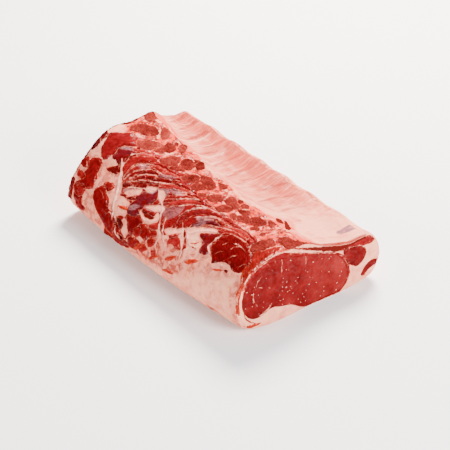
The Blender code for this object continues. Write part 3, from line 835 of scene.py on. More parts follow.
def fill_outline(loops, pitch, seed):
    """Even triangles over a flat outline, the first loop, less holes, the other loops.

    Gives the points added inside, and triangles that number the loops' points first."""
    rng = np.random.default_rng(seed)
    outline = loops[0]
    low, high = outline.min(axis=0), outline.max(axis=0)
    columns, rows = np.arange(low[0], high[0], pitch), np.arange(low[1], high[1], pitch * ROW_SHARE)
    grid = np.stack(np.meshgrid(columns, rows), -1)
    grid[1::2, :, 0] += pitch / 2
    grid = grid.reshape(-1, 2) + rng.uniform(-JITTER, JITTER, (grid.size // 2, 2)) * pitch
    grid = grid[inside(grid, outline)]
    for loop in loops:
        if loop is not outline:
            grid = grid[~inside(grid, loop)]
        grid = grid[to_line(grid, np.concatenate([loop, loop[:1]]))[0] > pitch * CLEARANCE]
    edges, first = [], 0
    for loop in loops:
        edges += [(first + i, first + (i + 1) % len(loop)) for i in range(len(loop))]
        first += len(loop)
    points = np.concatenate([*loops, grid])
    corners = [Vector(point) for point in points]
    _, _, faces, sources, _, _ = delaunay_2d_cdt(corners, edges, [], 0, 1e-6, True)
    faces = np.array([[sources[corner][0] for corner in face] for face in faces])
    middles = points[faces].mean(axis=1)
    keep = inside(middles, outline)
    for loop in loops[1:]:
        keep &= ~inside(middles, loop)
    faces = faces[keep]
    a, b, c = (points[faces[:, k]] for k in range(3))
    turned = np.cross(b - a, c - a) < 0
    faces[turned] = faces[turned][:, ::-1]
    return grid, faces


class Solid:
    """A closed mesh that is put together from rings of points and flat ends."""

    BULGE_RIM, LUMP_WIDTH, LUMP_SHARE, SHARP = 6, 7, 0.35, math.radians(55)

    def __init__(self):
        self.points, self.faces, self.count, self.painted = [], [], 0, []

    def add(self, points, paint=None):
        """Takes in points and gives their numbers."""
        points = np.asarray(points, float).reshape(-1, 3)
        first, self.count = self.count, self.count + len(points)
        self.points.append(points)
        if paint is not None:
            self.painted.append((first, paint))
        return np.arange(first, first + len(points))

    def sheet(self, ids, turned=False):
        """Quads between closed rows of vertices."""
        here, there = ids[:-1], ids[1:]
        side_here, side_there = np.roll(here, -1, axis=1), np.roll(there, -1, axis=1)
        quads = np.stack([here, side_here, side_there, there], -1).reshape(-1, 4)
        self.faces += (quads[:, ::-1] if turned else quads).tolist()

    def paint_ring(self, ids, painter):
        """Paints the hidden part of a ring like the cut that it borders."""
        self.painted.append((ids[0], painter(section_points(np.concatenate(self.points)[ids]))))

    def end(self, rings, pitch, seed, faces_near, painter, bulge=0.0):
        """Closes an end across rings of vertices, the first outside and the others holes."""
        places = np.concatenate(self.points)
        loops = [places[ring][:, [0, 2]] / MM for ring in rings]
        grid, faces = fill_outline(loops, pitch, seed)
        along = places[rings[0][0], 1]
        lift = np.zeros(len(grid))
        if bulge:
            edge = np.min([to_line(grid, np.concatenate([loop, loop[:1]]))[0] for loop in loops], axis=0)
            lumps = self.LUMP_SHARE * bulge * wander(grid, self.LUMP_WIDTH, seed + 0.5) * smooth(0, 2, edge)
            lift = bulge * smooth(0, self.BULGE_RIM, edge) + lumps
        side = -1 if faces_near else 1
        points = np.stack([grid[:, 0] * MM, along + side * lift * MM, grid[:, 1] * MM], 1)
        ids = np.concatenate([*rings, self.add(points, painter(grid + (CENTRE_X, 0)))])
        faces = ids[faces]
        self.faces += (faces if faces_near else faces[:, ::-1]).tolist()

    def piece(self, name, material, nodes, slot):
        """Makes the mesh and puts it in the place of its nodes."""
        mesh = bpy.data.meshes.new(name)
        mesh.from_pydata(np.concatenate(self.points), [], self.faces)
        mesh.validate()
        paint_onto(mesh, self.painted)
        mesh.materials.append(material)
        mesh.shade_smooth()
        mesh.set_sharp_from_angle(angle=self.SHARP)
        obj = bpy.data.objects.new(name, mesh)
        bpy.context.scene.collection.objects.link(obj)
        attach(obj, "root")
        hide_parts(*nodes)
        return obj


class Wire:
    """An output of a material's node, on which plain arithmetic adds Math nodes."""

    def __init__(self, finish, socket):
        self.finish, self.socket = finish, socket

    def math(self, operation, *others):
        values = dict(enumerate((self, *others)))
        return self.finish.node("ShaderNodeMath", {"operation": operation}, values)

    def __add__(self, other):
        return self.math("ADD", other)

    def __mul__(self, other):
        return self.math("MULTIPLY", other)

    def __sub__(self, other):
        return self.math("SUBTRACT", other)

    def __rsub__(self, other):
        return self * -1.0 + other

    __radd__, __rmul__ = __add__, __mul__

    def rise(self, low, high):
        """0 at low, 1 at high, smooth between."""
        settings = {"interpolation_type": "SMOOTHSTEP", "clamp": True}
        return self.finish.node("ShaderNodeMapRange", settings, {0: self, 1: low, 2: high})

    def ramp(self, *stops):
        """Colours by value: pairs of a value and a colour."""
        return self.finish.node("ShaderNodeValToRGB", {"stops": stops}, {0: self})


class Finish:
    """A material in the making."""

    BUMP_DEPTH = 0.0006

    def __init__(self, name, **constants):
        self.material = bpy.data.materials.new(name)
        self.material.use_nodes = True
        self.tree = self.material.node_tree
        self.shader = self.tree.nodes["Principled BSDF"]
        for socket, value in constants.items():
            self.shader.inputs[socket.replace("_", " ")].default_value = value

    def plug(self, socket, value):
        if isinstance(value, Wire):
            self.tree.links.new(value.socket, socket)
        elif isinstance(value, str):
            socket.default_value = (*linear(value), 1)
        else:
            socket.default_value = value

    def node(self, kind, settings, values, output=0):
        """Any node: its type, its settings, and the values or links of its sockets."""
        node = self.tree.nodes.new(kind)
        for name, value in settings.items():
            if name == "stops":
                while len(node.color_ramp.elements) < len(value):
                    node.color_ramp.elements.new(0.5)
                for element, (position, colour) in zip(node.color_ramp.elements, value):
                    element.position, element.color = position, (*linear(colour), 1)
            else:
                setattr(node, name, value)
        for key, value in values.items():
            self.plug(node.inputs[key], value)
        return Wire(self, node.outputs[output])

    def attribute(self, name, output="Fac"):
        return self.node("ShaderNodeAttribute", {"attribute_name": name}, {}, output)

    def object_place(self):
        return self.node("ShaderNodeTexCoord", {}, {}, "Object")

    def stretch(self, vector, scales):
        return self.node("ShaderNodeMapping", {}, {"Vector": vector, "Scale": scales})

    def noise(self, vector, scale, detail=3.0, roughness=0.55, distortion=0.0):
        values = {"Vector": vector, "Scale": scale, "Detail": detail, "Roughness": roughness}
        return self.node("ShaderNodeTexNoise", {}, {**values, "Distortion": distortion})

    def mix(self, factor, first, second):
        settings = {"data_type": "RGBA", "clamp_factor": True}
        return self.node("ShaderNodeMix", settings, {0: factor, 6: first, 7: second}, 2)

    def surface(self, height=None, bump=0.4, **sockets):
        """Plugs in what the surface is like and gives the material."""
        for name, value in sockets.items():
            self.plug(self.shader.inputs[name.replace("_", " ")], value)
        if height is not None:
            values = {"Height": height, "Strength": bump, "Distance": self.BUMP_DEPTH}
            self.plug(self.shader.inputs["Normal"], self.node("ShaderNodeBump", {}, values))
        return self.material


# Colours of raw beef as the shader takes them, before light, except FAT_SHADED: the pale fat in painted
# shade.
FAT_PALE, FAT_WARM, FAT_SHADED = "#EC9A80", "#EFA47C", "#D9806A"
FAT_PINK, FAT_BLOODY = "#CC4434", "#A3180D"
SINEW, THIN_SINEW = "#F0B29C", "#DA7E6C"
# The second of these is pale silver skin together with its painted sheen.
FILM_VIOLET, SILVER_SKIN_AND_SHEEN = "#471722", "#AE8082"
SHEATH_PINK = "#DC6C58"
ORANGE_STAIN, ORANGE_DEEP = "#C23A14", "#861206"
# Spongy bone, from its pores to its struts.
MARROW = ((0.36, "#370C09"), (0.5, "#5B1915"), (0.62, "#782620"), (0.8, "#AA5444"))
# Blotches of the meat: how many a metre, how many finer ones lie in each, and how strong those are.
FRAYED, CLOUDY, BROKEN, FINE = (420.0, 3.0), (60.0, 4.0, 0.6), (110.0, 3.0), (900.0, 2.0)
SPONGY, BLUSH, WET_SPOTS = (520.0, 3.0, 0.7), (75.0, 5.0, 0.7), (200.0, 3.0)
# How close the fibres lie across and along a bundle.
FIBRES, FINE_FIBRES = (0.9, 0.09, 1.0), (3.2, 0.25, 1.0)


def flesh(name, reds, fibre_contrast=0.5, fat_pink=0.35, wet=0.7):
    """Muscle in its fat, laid out by a mesh's painting. reds run from the darkest to the brightest."""
    finish = Finish(name, Specular_IOR_Level=0.0, Coat_Roughness=0.16)
    paint = {field: finish.attribute(field) for field in ("meat", "strand", *Painting.FIELDS)}
    grain = finish.attribute("grain", "Vector")
    place = finish.object_place()
    fibres = finish.noise(finish.stretch(grain, FIBRES), 1.0, 3.0, 0.6)
    fine_fibres = finish.noise(finish.stretch(grain, FINE_FIBRES), 1.0, 2.0)
    ragged, cloudy = finish.noise(place, *FRAYED), finish.noise(place, *CLOUDY)
    broken, fine = finish.noise(place, *BROKEN), finish.noise(place, *FINE)
    depth = paint["meat"] + (ragged - 0.5) * 1.6 + (fibres - 0.5) * 2.0 + (broken - 0.5) * 3.0
    strand = paint["strand"] + (broken - 0.5) * 4.4 + (fine_fibres - 0.5) * 1.6
    white = strand.rise(-0.3, 1.3)
    seeping = paint["blood"] * (broken * 0.7 + ragged * 0.3).rise(0.49, 0.58)
    red = depth.rise(-0.9, 0.7).math("MAXIMUM", seeping * 0.8) * (1.0 - white)
    # Each bundle is painted a little darker close to its edge, within about 2 mm: a painted shade in the
    # grooves between the bundles.
    tone = paint["tone"].math("MAXIMUM", paint["blood"] * 0.4) - depth.rise(2.2, 0.2) * 0.08
    tone = tone + (fibres - 0.5) * fibre_contrast * 3.0 + (cloudy - 0.5) * 0.8
    muscle = tone.ramp(*zip((0.0, 0.34, 0.66, 1.0), reds))
    veins = fine_fibres.rise(0.57, 0.72) * cloudy.rise(0.35, 0.65) * depth.rise(4.0, 0.6)
    muscle = finish.mix(veins * 0.75, muscle, FAT_PINK)
    flecks = (ragged * 0.5 + broken * 0.5).rise(0.55, 0.62) * depth.rise(7.0, 1.5)
    muscle = finish.mix(flecks * 0.7, muscle, SHEATH_PINK)
    film = paint["film"] * broken.rise(0.36, 0.6)
    muscle = finish.mix(film * 0.6, muscle, FILM_VIOLET)
    # Silver skin with its sheen painted in: pale streaks that stand for a painted highlight on the wet
    # skin.
    silver = paint["silver"] * (fibres + cloudy * 0.6).rise(0.6, 0.95)
    muscle = finish.mix(silver * 0.75, muscle, SILVER_SKIN_AND_SHEEN)
    spongy = finish.noise(place, *SPONGY)
    marrow = (spongy * 0.8 + paint["tone"] * 0.25 + (cloudy - 0.5) * 0.5).ramp(*MARROW)
    muscle = finish.mix(paint["bone"].rise(0.0, 0.45) * 0.9, muscle, marrow)
    stain = finish.mix(fibres.rise(0.42, 0.6), ORANGE_DEEP, ORANGE_STAIN)
    muscle = finish.mix(paint["orange"], muscle, stain)
    # The fat's tone wanders with cloudy noise from FAT_SHADED, a painted shade of the fat, through its pale
    # tone to its warm tone.
    fat = cloudy.ramp((0.32, FAT_SHADED), (0.5, FAT_PALE), (0.7, FAT_WARM))
    blush = finish.noise(place, *BLUSH)
    fat = finish.mix(blush.rise(0.48, 0.7) * fat_pink, fat, FAT_PINK)
    fat = finish.mix(blush.rise(0.62, 0.72) * broken.rise(0.4, 0.6) * fat_pink, fat, FAT_BLOODY)
    near_meat = depth.rise(-4.5, -0.2)
    fat = finish.mix(near_meat * 0.65, fat, SHEATH_PINK)
    fat = finish.mix(paint["blood"] * cloudy.rise(0.36, 0.6) * 0.9, fat, FAT_PINK)
    fat = finish.mix(paint["blood"] * broken.rise(0.44, 0.58) * 0.75, fat, FAT_BLOODY)
    fat = finish.mix(white, fat, finish.mix(strand.rise(0.0, 2.2), THIN_SINEW, SINEW))
    colour = finish.mix(red, fat, muscle)
    rough = finish.noise(place, *WET_SPOTS)
    roughness = 0.55 - red * 0.12 + (rough - 0.5) * 0.2
    coat = (red * 0.3 + film * 0.35) * rough.rise(0.45, 0.65) * (1.0 - paint["bone"]) * wet
    height = fibres * red * 1.2 + fine_fibres * red * 0.6 + ragged * 0.45 + fine * 0.25
    height = height + spongy * paint["bone"] * 0.8
    return finish.surface(height, bump=0.6, Base_Color=colour, Roughness=roughness, Coat_Weight=coat)


DEEP_REDS = ("#420507", "#5C080B", "#780F12", "#9A1F20")
chine_finish = flesh("chine_meat_and_fat", DEEP_REDS, fat_pink=0.6)


# What shows on the eye cut: red meat round the eye and under the membrane, strips of orange-red
# meat outside the seam, and the white seam and threads.
CUT_PATCHES = (
    (0.55, (
        (290, 248.6), (304, 247.4), (318, 246.6), (332, 245.2), (345, 242.4), (357, 238.8), (368, 235),
        (375, 235.6), (374, 240.6), (367, 244.6), (357, 248), (346, 250.4), (333, 251.8), (318, 251.4),
        (304, 250.4),
    )),
    (0.5, (
        (360.6, 275), (363.4, 268.6), (366, 263.6), (372, 261.2), (376, 258.4), (380, 256), (381, 260),
        (376.4, 263.6), (371, 267), (367, 271.6), (363, 276),
    )),
    (0.5, (
        (283, 252.5), (296, 252.4), (311, 252.2), (326, 252), (340, 252.6), (347, 257.6), (350, 266),
        (349.6, 275), (343, 288), (330, 300), (310, 308), (297, 306), (288, 304.5), (270, 309), (262, 316),
        (251, 318.4), (244, 312), (241.8, 301), (244.4, 289.4), (249.8, 277), (257.6, 268), (268, 259.6),
    )),
    (0.3, (
        (343.5, 249.5), (352, 247), (361, 245.6), (366, 248), (366.6, 253), (362, 259), (359, 265.4),
        (352, 266), (347, 262.6), (344, 256),
    )),
)
CUT_BUNDLES = (
    (4.4, 0.4, 0.6, ((244.4, 282), (240.6, 290), (238, 299), (237.6, 307), (239, 315))),
    (3.8, 0.6, 0.7, ((231, 322.6), (238, 326.6), (246, 328), (260, 323))),
    (1.6, 0.5, 0.3, ((243, 313), (246, 319), (251, 322.4), (256, 323))),
)
CUT_STRANDS = (
    (0.6, ((282.4, 247.4), (275.6, 256), (266, 262.6), (257, 269.8), (251, 276.6), (247, 283.6))),
    (0.6, ((247, 283.6), (244, 290), (242, 298), (241.2, 306), (242.6, 313), (248, 319))),
    (0.7, ((284, 252), (297, 253.4), (311, 253.2), (324, 253), (338, 254), (346, 258.6))),
    (1.0, ((306, 252), (305.5, 260), (305, 267))),
    (0.6, ((281.8, 259.7), (281.3, 269), (280.8, 278.7))),
    (0.7, ((253.4, 289.2), (253.2, 299.7), (256.6, 306))),
    (0.9, ((262, 275), (257, 283), (254.6, 291))),
    (0.5, ((274, 256.6), (275.4, 262), (277.4, 266))),
    (0.4, ((267.6, 264), (270.6, 268), (273, 272.4))),
    (0.9, ((257, 288), (259.4, 287.2), (261.8, 287.6))),
    (1.5, ((264, 312), (268, 309), (270.6, 304.4))),
    (1.3, ((259, 316), (263.4, 314), (266, 310.6))),
)
CUT_RAGGED = 0.9


def cut_seams(paint):
    """Strips of meat, white seams and threads on a cut."""
    for half, tone, orange, pixels in CUT_BUNDLES:
        paint.bundle(half, on_cut(pixels), tone=tone, orange=orange)
    for half, pixels in CUT_STRANDS:
        paint.sinew(half, on_cut(pixels))
    return paint


def cut_painting(points):
    """What shows on the eye cut, at points x and z of the cross-section."""
    paint = Painting(points, CUT_RAGGED)
    for tone, pixels in CUT_PATCHES:
        paint.patch(on_cut(pixels), tone=tone)
    paint.patch(on_cut(SEAM_BAND), **SEAM_MEAT)
    return cut_seams(paint)


def curved_layer(ends, along, places, lift, paint, depths, pitch, seeds):
    """A layer from the outer surface in to its hidden side, between two landmarks."""
    under_places = even_places(*ends, HIDDEN_PITCH)[::-1]
    under_share = (under_places - ends[0]) / (ends[1] - ends[0])
    depth = layer_depth(along[:, None], under_share, depths)
    solid = Solid()
    ids = [
        solid.add(skin(along[:, None], places, lift), paint),
        solid.add(skin(along[:, None], under_places, -depth)),
    ]
    ring_ids = np.concatenate([part.reshape(len(along), -1) for part in ids], 1)
    solid.sheet(ring_ids)
    solid.paint_ring(ids[1][: len(under_places)], cut_painting)
    solid.end([ring_ids[0]], pitch, seeds[0], True, cut_painting)
    solid.end([ring_ids[-1]], FAR_PITCH, seeds[1], False, Painting)
    return solid


chine_places = even_places(CHINE_RIM, CREST, CHINE_PITCH)
chine_along = np.linspace(0, LENGTH, int(LENGTH / CHINE_PITCH) + 1)
chine_spots = grid_spots(chine_along, chine_places)
chine_paint = chine_painting(chine_spots)
chine_lift = relief(chine_paint).reshape(chine_spots.shape[:2])
from_rim, to_crest = girth(chine_places) - girth(CHINE_RIM), girth(CREST) - girth(chine_places)
RIM_FADE, CREST_FADE = 6, 5
chine_lift *= smooth(0, RIM_FADE, from_rim) * smooth(0, CREST_FADE, to_crest)
# The beds of the vertebrae: how much of a sawn face they take up, and the gap below the bone.
BONE_BED, BONE_BED_GAP = 0.96, 0.4
for middle, half in VERTEBRAE:
    reach = bone_reach(chine_along[:, None], chine_places, middle, half)
    chine_lift = np.where(reach < BONE_BED, -BONE_DEPTH - BONE_BED_GAP, chine_lift)
chine_ends = (CHINE_RIM, CREST)
chine = curved_layer(
    chine_ends, chine_along, chine_places, chine_lift, chine_paint, CHINE_DEPTH, CHINE_PITCH, (1, 2)
)
chine.piece("chine_side_meat", chine_finish, ["chine_side"], "chine_meat")

# The vertebrae: the saw went through their bodies, which leaves seven faces of red spongy bone in
# cream rims along the top. Each is let into the meat and stands a little proud of it.
BONE_RIM_COUNT = 72
# Rings down the side of a vertebra: how deep they lie, and their size beside the sawn face.
BONE_SIDES = ((-3.0, 0.98), (-BONE_DEPTH, 0.94))
BONE_EDGE_LIFT, BONE_FACE_LIFT, BONE_SHOULDER = 0.12, 0.15, 0.8
angles = 2 * math.pi * np.arange(BONE_RIM_COUNT) / BONE_RIM_COUNT
rim = np.stack([np.cos(angles), np.sin(angles)], 1)
rim = rim * (np.abs(rim) ** BONE_SQUARE).sum(axis=1, keepdims=True) ** (-1 / BONE_SQUARE)
bone_breadth = girth(BONE_MARK + BONE_HALF_GIRTH / 2) - girth(BONE_MARK - BONE_HALF_GIRTH / 2)
for number, (middle, half) in enumerate(VERTEBRAE, 1):
    bone_half = half - BONE_GAP
    scale = np.array((bone_half, bone_breadth))
    loop = rim * scale
    grid, faces = fill_outline([loop], CHINE_PITCH, 10 + number)
    flat = np.concatenate([loop, grid]) / scale
    bone_along = middle + flat[:, 0] * bone_half - flat[:, 1] * BONE_LEAN
    bone_along = np.clip(bone_along, BONE_INSET, LENGTH - BONE_INSET)
    bone_places = BONE_MARK + flat[:, 1] * BONE_HALF_GIRTH
    bone_paint = chine_painting(np.stack([bone_along, girth(bone_places)], 1))
    reach = bone_reach(bone_along, bone_places, middle, half)
    bone_relief = relief(bone_paint)
    bone_lift = bone_relief + BONE_PROUD * smooth(1.0, BONE_SHOULDER, reach) + BONE_FACE_LIFT
    bone_lift[: len(loop)] = bone_relief[: len(loop)] + BONE_EDGE_LIFT
    bone = Solid()
    top_ids = bone.add(skin(bone_along, bone_places, bone_lift), bone_paint)
    rows = [top_ids[: len(loop)]]
    for drop, shrink in BONE_SIDES:
        lower_along = middle + rim[:, 0] * shrink * bone_half - rim[:, 1] * BONE_LEAN
        lower_along = np.clip(lower_along, BONE_INSET, LENGTH - BONE_INSET)
        lower_places = BONE_MARK + rim[:, 1] * shrink * BONE_HALF_GIRTH
        rows.append(bone.add(skin(lower_along, lower_places, drop)))
    corners = skin(bone_along, bone_places)[[0, BONE_RIM_COUNT // 4, BONE_RIM_COUNT // 2]]
    upward = np.cross(*np.diff(corners, axis=0))[2] > 0
    bone.faces += (top_ids[faces] if upward else top_ids[faces][:, ::-1]).tolist()
    bone.sheet(np.array(rows), turned=upward)
    bone.faces.append((rows[-1][::-1] if upward else rows[-1]).tolist())
    bone.piece(f"sawn_vertebra_{number}", chine_finish, [f"chine_bone_{number}"], "bone")

# The body of fat: it holds the muscles, shows round them on both cuts and forms the flat fat cap
# that the joint lies on. Along the rib tips the sawn ends of the ribs show in it.
FAT_PITCH, FAT_CUT_PITCH = 1.8, 1.3
PLATE_DEPTH = ((6, 7, 8), (11, 13, 15), (5, 5, 5))
# How far the fat keeps off the pieces in it, and how far it swells on a cut.
HAIR, FAT_BULGE = 0.3, 0.3
# Muscles that run through the joint: outline on the eye cut, centre, scale at the eye cut, half
# length and far end, and how far x and z drift there.
MUSCLES = {
    "eye_muscle": (
        (
            (64, 107), (98, 98), (140, 85), (174, 69), (190, 47), (195, 24), (184, 7), (150, 5), (108, 6),
            (88, 18), (66, 24), (44, 31), (26, 22), (8, 28), (-5, 50), (-3, 70), (15, 95), (40, 105),
        ),
        (104, 56), (1.0, 0.82, 0.7), ((0, 8, 7), (0, -7, -7)),
    ),
    "rib_muscle": (
        ((186, 63), (203, 69), (222, 64), (231, 52), (225, 39), (212, 34), (202, 44)),
        (210, 52), (1.0, 0.95, 0.9), ((0, 4, -22), (0, -5, 12)),
    ),
    "edge_muscle": (
        ((231, 28), (242, 33), (251, 31), (250, 24), (238, 19), (222, 14)),
        (240, 26), (1.0, 0.95, 0.7), ((0, -3, -38), (0, 2, 8)),
    ),
}


def muscle_rings(name, along, per_point, grow=0.0):
    """Rings of a muscle, clockwise from the eye cut, at distances along the joint."""
    outline, centre, shrink, drift = MUSCLES[name]
    rings = []
    for t in along / LENGTH:
        move = np.array([along_quadratic(axis, t) for axis in drift])
        points = np.array(centre) + (np.array(outline, float) - centre) * along_quadratic(shrink, t) + move
        ring = closed_spline(points, np.arange(len(points) * per_point) / per_point)
        run = np.roll(ring, -1, axis=0) - np.roll(ring, 1, axis=0)
        outward = np.stack([-run[:, 1], run[:, 0]], 1) / np.linalg.norm(run, axis=1)[:, None]
        ring = ring + outward * grow
        along_ring = np.full(len(ring), t * LENGTH - LENGTH / 2)
        rings.append(np.stack([ring[:, 0] - CENTRE_X, along_ring, ring[:, 1]], 1))
    return np.array(rings) * MM


# The rib tips: their landmark, the half size of a rib's sawn end, and the bundle and the seam of
# meat between two, each by half width and by points from the middle between the ribs.
TIP_MARK = LIP + 0.62
RIB_END_SHARE, RIB_END_HALF, RIB_RING_HALF = 0.6, 7.0, 2.0
TIP_BUNDLE = (5.4, ((-12, 1), (0, -1), (12, 1)))
TIP_SEAM = (2.2, ((-34, 17), (-12, 19), (10, 17), (24, 18.5)))
TIP_MARGIN, BETWEEN_MARGIN, PAST_RIB = 12, 8, 2
# How high the fat's humps and the meat between the ribs stand.
FAT_HUMPS, TIP_MEAT = 0.7, 0.5


def fat_painting(spots):
    """The side of the rib tips: the sawn ends of the ribs, with streaks of meat between them."""
    paint = Painting(spots)
    angles = np.linspace(0, 2 * math.pi, 9)[:-1]
    for middle, half in VERTEBRAE:
        tip = np.array((middle - RIB_SLANT, girth(TIP_MARK)))
        if tip[0] > TIP_MARGIN:
            rib = tip + np.stack([np.cos(angles) * half * RIB_END_SHARE, np.sin(angles) * RIB_END_HALF], 1)
            paint.patch(rib, tone=1.0, bone=1.0)
            paint.sinew(RIB_RING_HALF, np.concatenate([rib, rib[:2]]))
        between = tip + (half + PAST_RIB, 0)
        if BETWEEN_MARGIN < between[0] < LENGTH - TIP_MARGIN:
            for tone, (width, points) in ((0.5, TIP_BUNDLE), (0.6, TIP_SEAM)):
                paint.bundle(width, between + np.array(points), tone=tone)
    from_rim = paint.spots[:, 1] - girth(PLATE_RIM)
    below = 1 - smooth(8, 30, np.abs(from_rim - 45))
    rim_blood = 0.7 * smooth(12, 0, from_rim) * smooth(20, 160, paint.spots[:, 0])
    paint.fields["blood"] = np.maximum(rim_blood, 0.3 * below)
    return paint


def far_painting(points):
    """The seams again, round the eye muscle as small as it is at the far end."""
    _, centre, shrink, drift = MUSCLES["eye_muscle"]
    moved = np.array([axis[-1] for axis in drift])
    return cut_seams(Painting((points - moved - centre) / shrink[-1] + centre, CUT_RAGGED))


fat_along = np.linspace(0, LENGTH, int(LENGTH / FAT_PITCH) + 1)
fat_open = even_places(PLATE_RIM, CHINE_RIM + len(MARKS), FAT_PITCH)
fat_under_chine = even_places(CHINE_RIM, CREST, HIDDEN_PITCH)[:-1]
fat_under_plate = even_places(CREST, PLATE_RIM, HIDDEN_PITCH)
fat_spots = grid_spots(fat_along, fat_open)
fat_paint = fat_painting(fat_spots)
fat_lift = wander(fat_paint.spots, 22, 4.0) * FAT_HUMPS + smooth(-1, 1.5, fat_paint.meat) * TIP_MEAT
fat_lift = fat_lift.reshape(fat_spots.shape[:2])
plate_share = (fat_under_plate - CREST) / (PLATE_RIM - CREST)
chine_share = (fat_under_chine - CHINE_RIM) / (CREST - CHINE_RIM)
chine_bed = -HAIR - layer_depth(fat_along[:, None], chine_share, CHINE_DEPTH)
plate_bed = -HAIR - layer_depth(fat_along[:, None], plate_share, PLATE_DEPTH)
fat = Solid()
ids = [
    fat.add(skin(fat_along[:, None], fat_open, fat_lift), fat_paint),
    fat.add(skin(fat_along[:, None], fat_under_chine, chine_bed)),
    fat.add(skin(fat_along[:, None], fat_under_plate, plate_bed)),
]
ring_ids = np.concatenate([part.reshape(len(fat_along), -1) for part in ids], 1)
fat.sheet(ring_ids)
for part in ids[1:]:
    fat.paint_ring(part.reshape(len(fat_along), -1)[0], cut_painting)
near_rings, far_rings = [ring_ids[0]], [ring_ids[-1]]
channel_along = np.linspace(0, LENGTH, 24)
for name in MUSCLES:
    wall = muscle_rings(name, channel_along, 8, HAIR)
    wall_ids = fat.add(wall, cut_painting(section_points(wall))).reshape(wall.shape[:2])
    fat.sheet(wall_ids, turned=True)
    near_rings.append(wall_ids[0])
    far_rings.append(wall_ids[-1])
fat.end(near_rings, FAT_CUT_PITCH, 3, True, cut_painting, FAT_BULGE)
fat.end(far_rings, FAT_PITCH, 4, False, far_painting, FAT_BULGE)
fat_finish = flesh("marbled_fat", DEEP_REDS, fat_pink=0.4)
fat.piece("fat_body", fat_finish, ["fat_cap"], "fat")

# The muscles of the cut: lean beef, sliced straight across its fibres, so it shows a fine moist
# grain, flecks of marbling and a few white threads. Cut meat swells a little out of the fat.
CUT_REDS = ("#3E0609", "#540B0D", "#6A1314", "#822220")
cut_finish = flesh("cut_lean", CUT_REDS, fibre_contrast=0.15, wet=0.5)
# Where the cut grows brighter and then darker towards the ribs, and by how much: the eye is painted
# brighter towards the ribs, a painted light from the lamp on that side, and the rib muscle is darker in its
# own deeper red.
CUT_PAINTED_LIGHT_AND_TONE = ((30, 190, 0.35), (186, 204, -0.4))


def lean_painting(points):
    """Meat all over, with the white threads of the eye cut."""
    paint = cut_painting(points)
    paint.meat[:] = -Painting.FAR_OFF
    # The eye is painted brighter towards the ribs, a painted light, and darker over the rib muscle, which
    # is its own colour.
    painted_light_and_tone = sum(smooth(low, high, paint.spots[:, 0]) * amount for low, high, amount in CUT_PAINTED_LIGHT_AND_TONE)
    paint.fields["tone"][:] = 0.5 + 0.25 * wander(paint.spots, 30, 6.0) + painted_light_and_tone
    paint.fields["orange"][:] = 0.0
    return paint


LEAN_PITCH, LEAN_FAR_PITCH, LEAN_BULGE = 1.0, 2.4, 0.9
lean_pieces = {}
for number, name in enumerate(MUSCLES):
    muscle = Solid()
    rings = muscle_rings(name, channel_along, 8)
    ring_ids = muscle.add(rings, lean_painting(section_points(rings))).reshape(rings.shape[:2])
    muscle.sheet(ring_ids)
    muscle.end([ring_ids[0]], LEAN_PITCH, 20 + number, True, lean_painting, LEAN_BULGE)
    muscle.end([ring_ids[-1]], LEAN_FAR_PITCH, 30 + number, False, lean_painting, LEAN_BULGE)
    lean_pieces[name] = muscle.piece(name + "_lean", cut_finish, [name], "eye_meat")

# The rib plate: the ribs and the meat between them, under the tough, shiny membrane that lined the
# chest. It is pale pink, with streaks of red that run along the ribs and ridges of white sinew.
PLATE_PITCH = 1.4
STREAK_SWEEP, STREAK_EDGE = 17.0, 1.6
# How high the ripples along the ribs, the humps and the white ridges stand, in millimetres.
RIPPLE_HEIGHT, HUMP_HEIGHT, RIDGE_HEIGHT = 0.5, 0.7, 1.1
# White ridges that sweep off the vertebrae, and streaks of red, by half width and pixels.
PLATE_RIDGES = (
    (2.4, ((168, 126), (173, 133.6), (180, 139.4), (188, 142.4), (199, 140.6), (210, 133.7))),
    (2.2, ((185, 147), (193, 152.6), (202, 156.4), (213, 157), (224, 153))),
    (1.8, ((190, 152), (198, 160), (208, 163), (222, 161))),
    (2.0, ((205, 166.6), (211, 171.6), (220, 174.2), (232, 173.4))),
    (1.6, ((163, 116), (168, 124), (175, 129), (184, 131))),
    (1.6, ((224, 178), (232, 184), (244, 186))),
    (1.6, ((236, 196), (246, 204), (258, 207))),
    (1.3, ((172, 118), (180, 124), (190, 124))),
    (1.4, ((196, 146), (206, 146), (217, 141))),
    (1.4, ((250, 214), (262, 218), (274, 220))),
)
PLATE_STREAKS = (
    (3.6, 0.75, ((186, 139), (196, 137), (207, 131))),
    (2.6, 0.6, ((196, 152.5), (206, 153.6), (217, 151))),
    (2.6, 0.6, ((226, 176), (240, 172), (254, 166))),
    (3.0, 0.5, ((212, 166), (226, 161), (240, 155))),
    (2.6, 0.5, ((238, 183), (252, 179), (268, 173))),
    (2.8, 0.6, ((257.4, 190.3), (273.5, 186.9), (290.7, 182.3))),
    (2.6, 0.6, ((258.6, 201.8), (279.2, 197.2), (296.5, 194.9))),
    (3.2, 0.6, ((170, 122), (182, 118), (192, 111))),
    (3.0, 0.6, ((178, 130), (192, 124), (203, 119))),
    (2.8, 0.5, ((206, 147), (220, 142), (231, 139))),
    (2.0, 0.5, ((278, 212), (292, 208), (306, 206))),
    (1.6, 0.7, ((297.6, 219.6), (299.3, 220.2), (301, 220.6))),
    (2.4, 0.9, ((187, 109.6), (201.9, 120), (213.4, 129), (223.8, 137), (236, 144))),
    (2.8, 1.0, ((236, 144), (248, 151.6), (258, 157.6), (270, 166))),
    (2.4, 0.7, ((270, 166), (284, 175), (296, 183))),
    (3.2, 1.0, ((290, 247.6), (305, 247.4), (322, 246.4), (340, 243.4), (356, 239.4), (370, 234.4))),
    (2.6, 0.9, ((276, 236), (290, 240.6), (304, 243.6), (318, 244))),
)
BRUISE = ((336, 232), (344, 227.5), (352, 223.5), (361, 223.5), (358, 228), (349, 231.5), (341, 234.5))


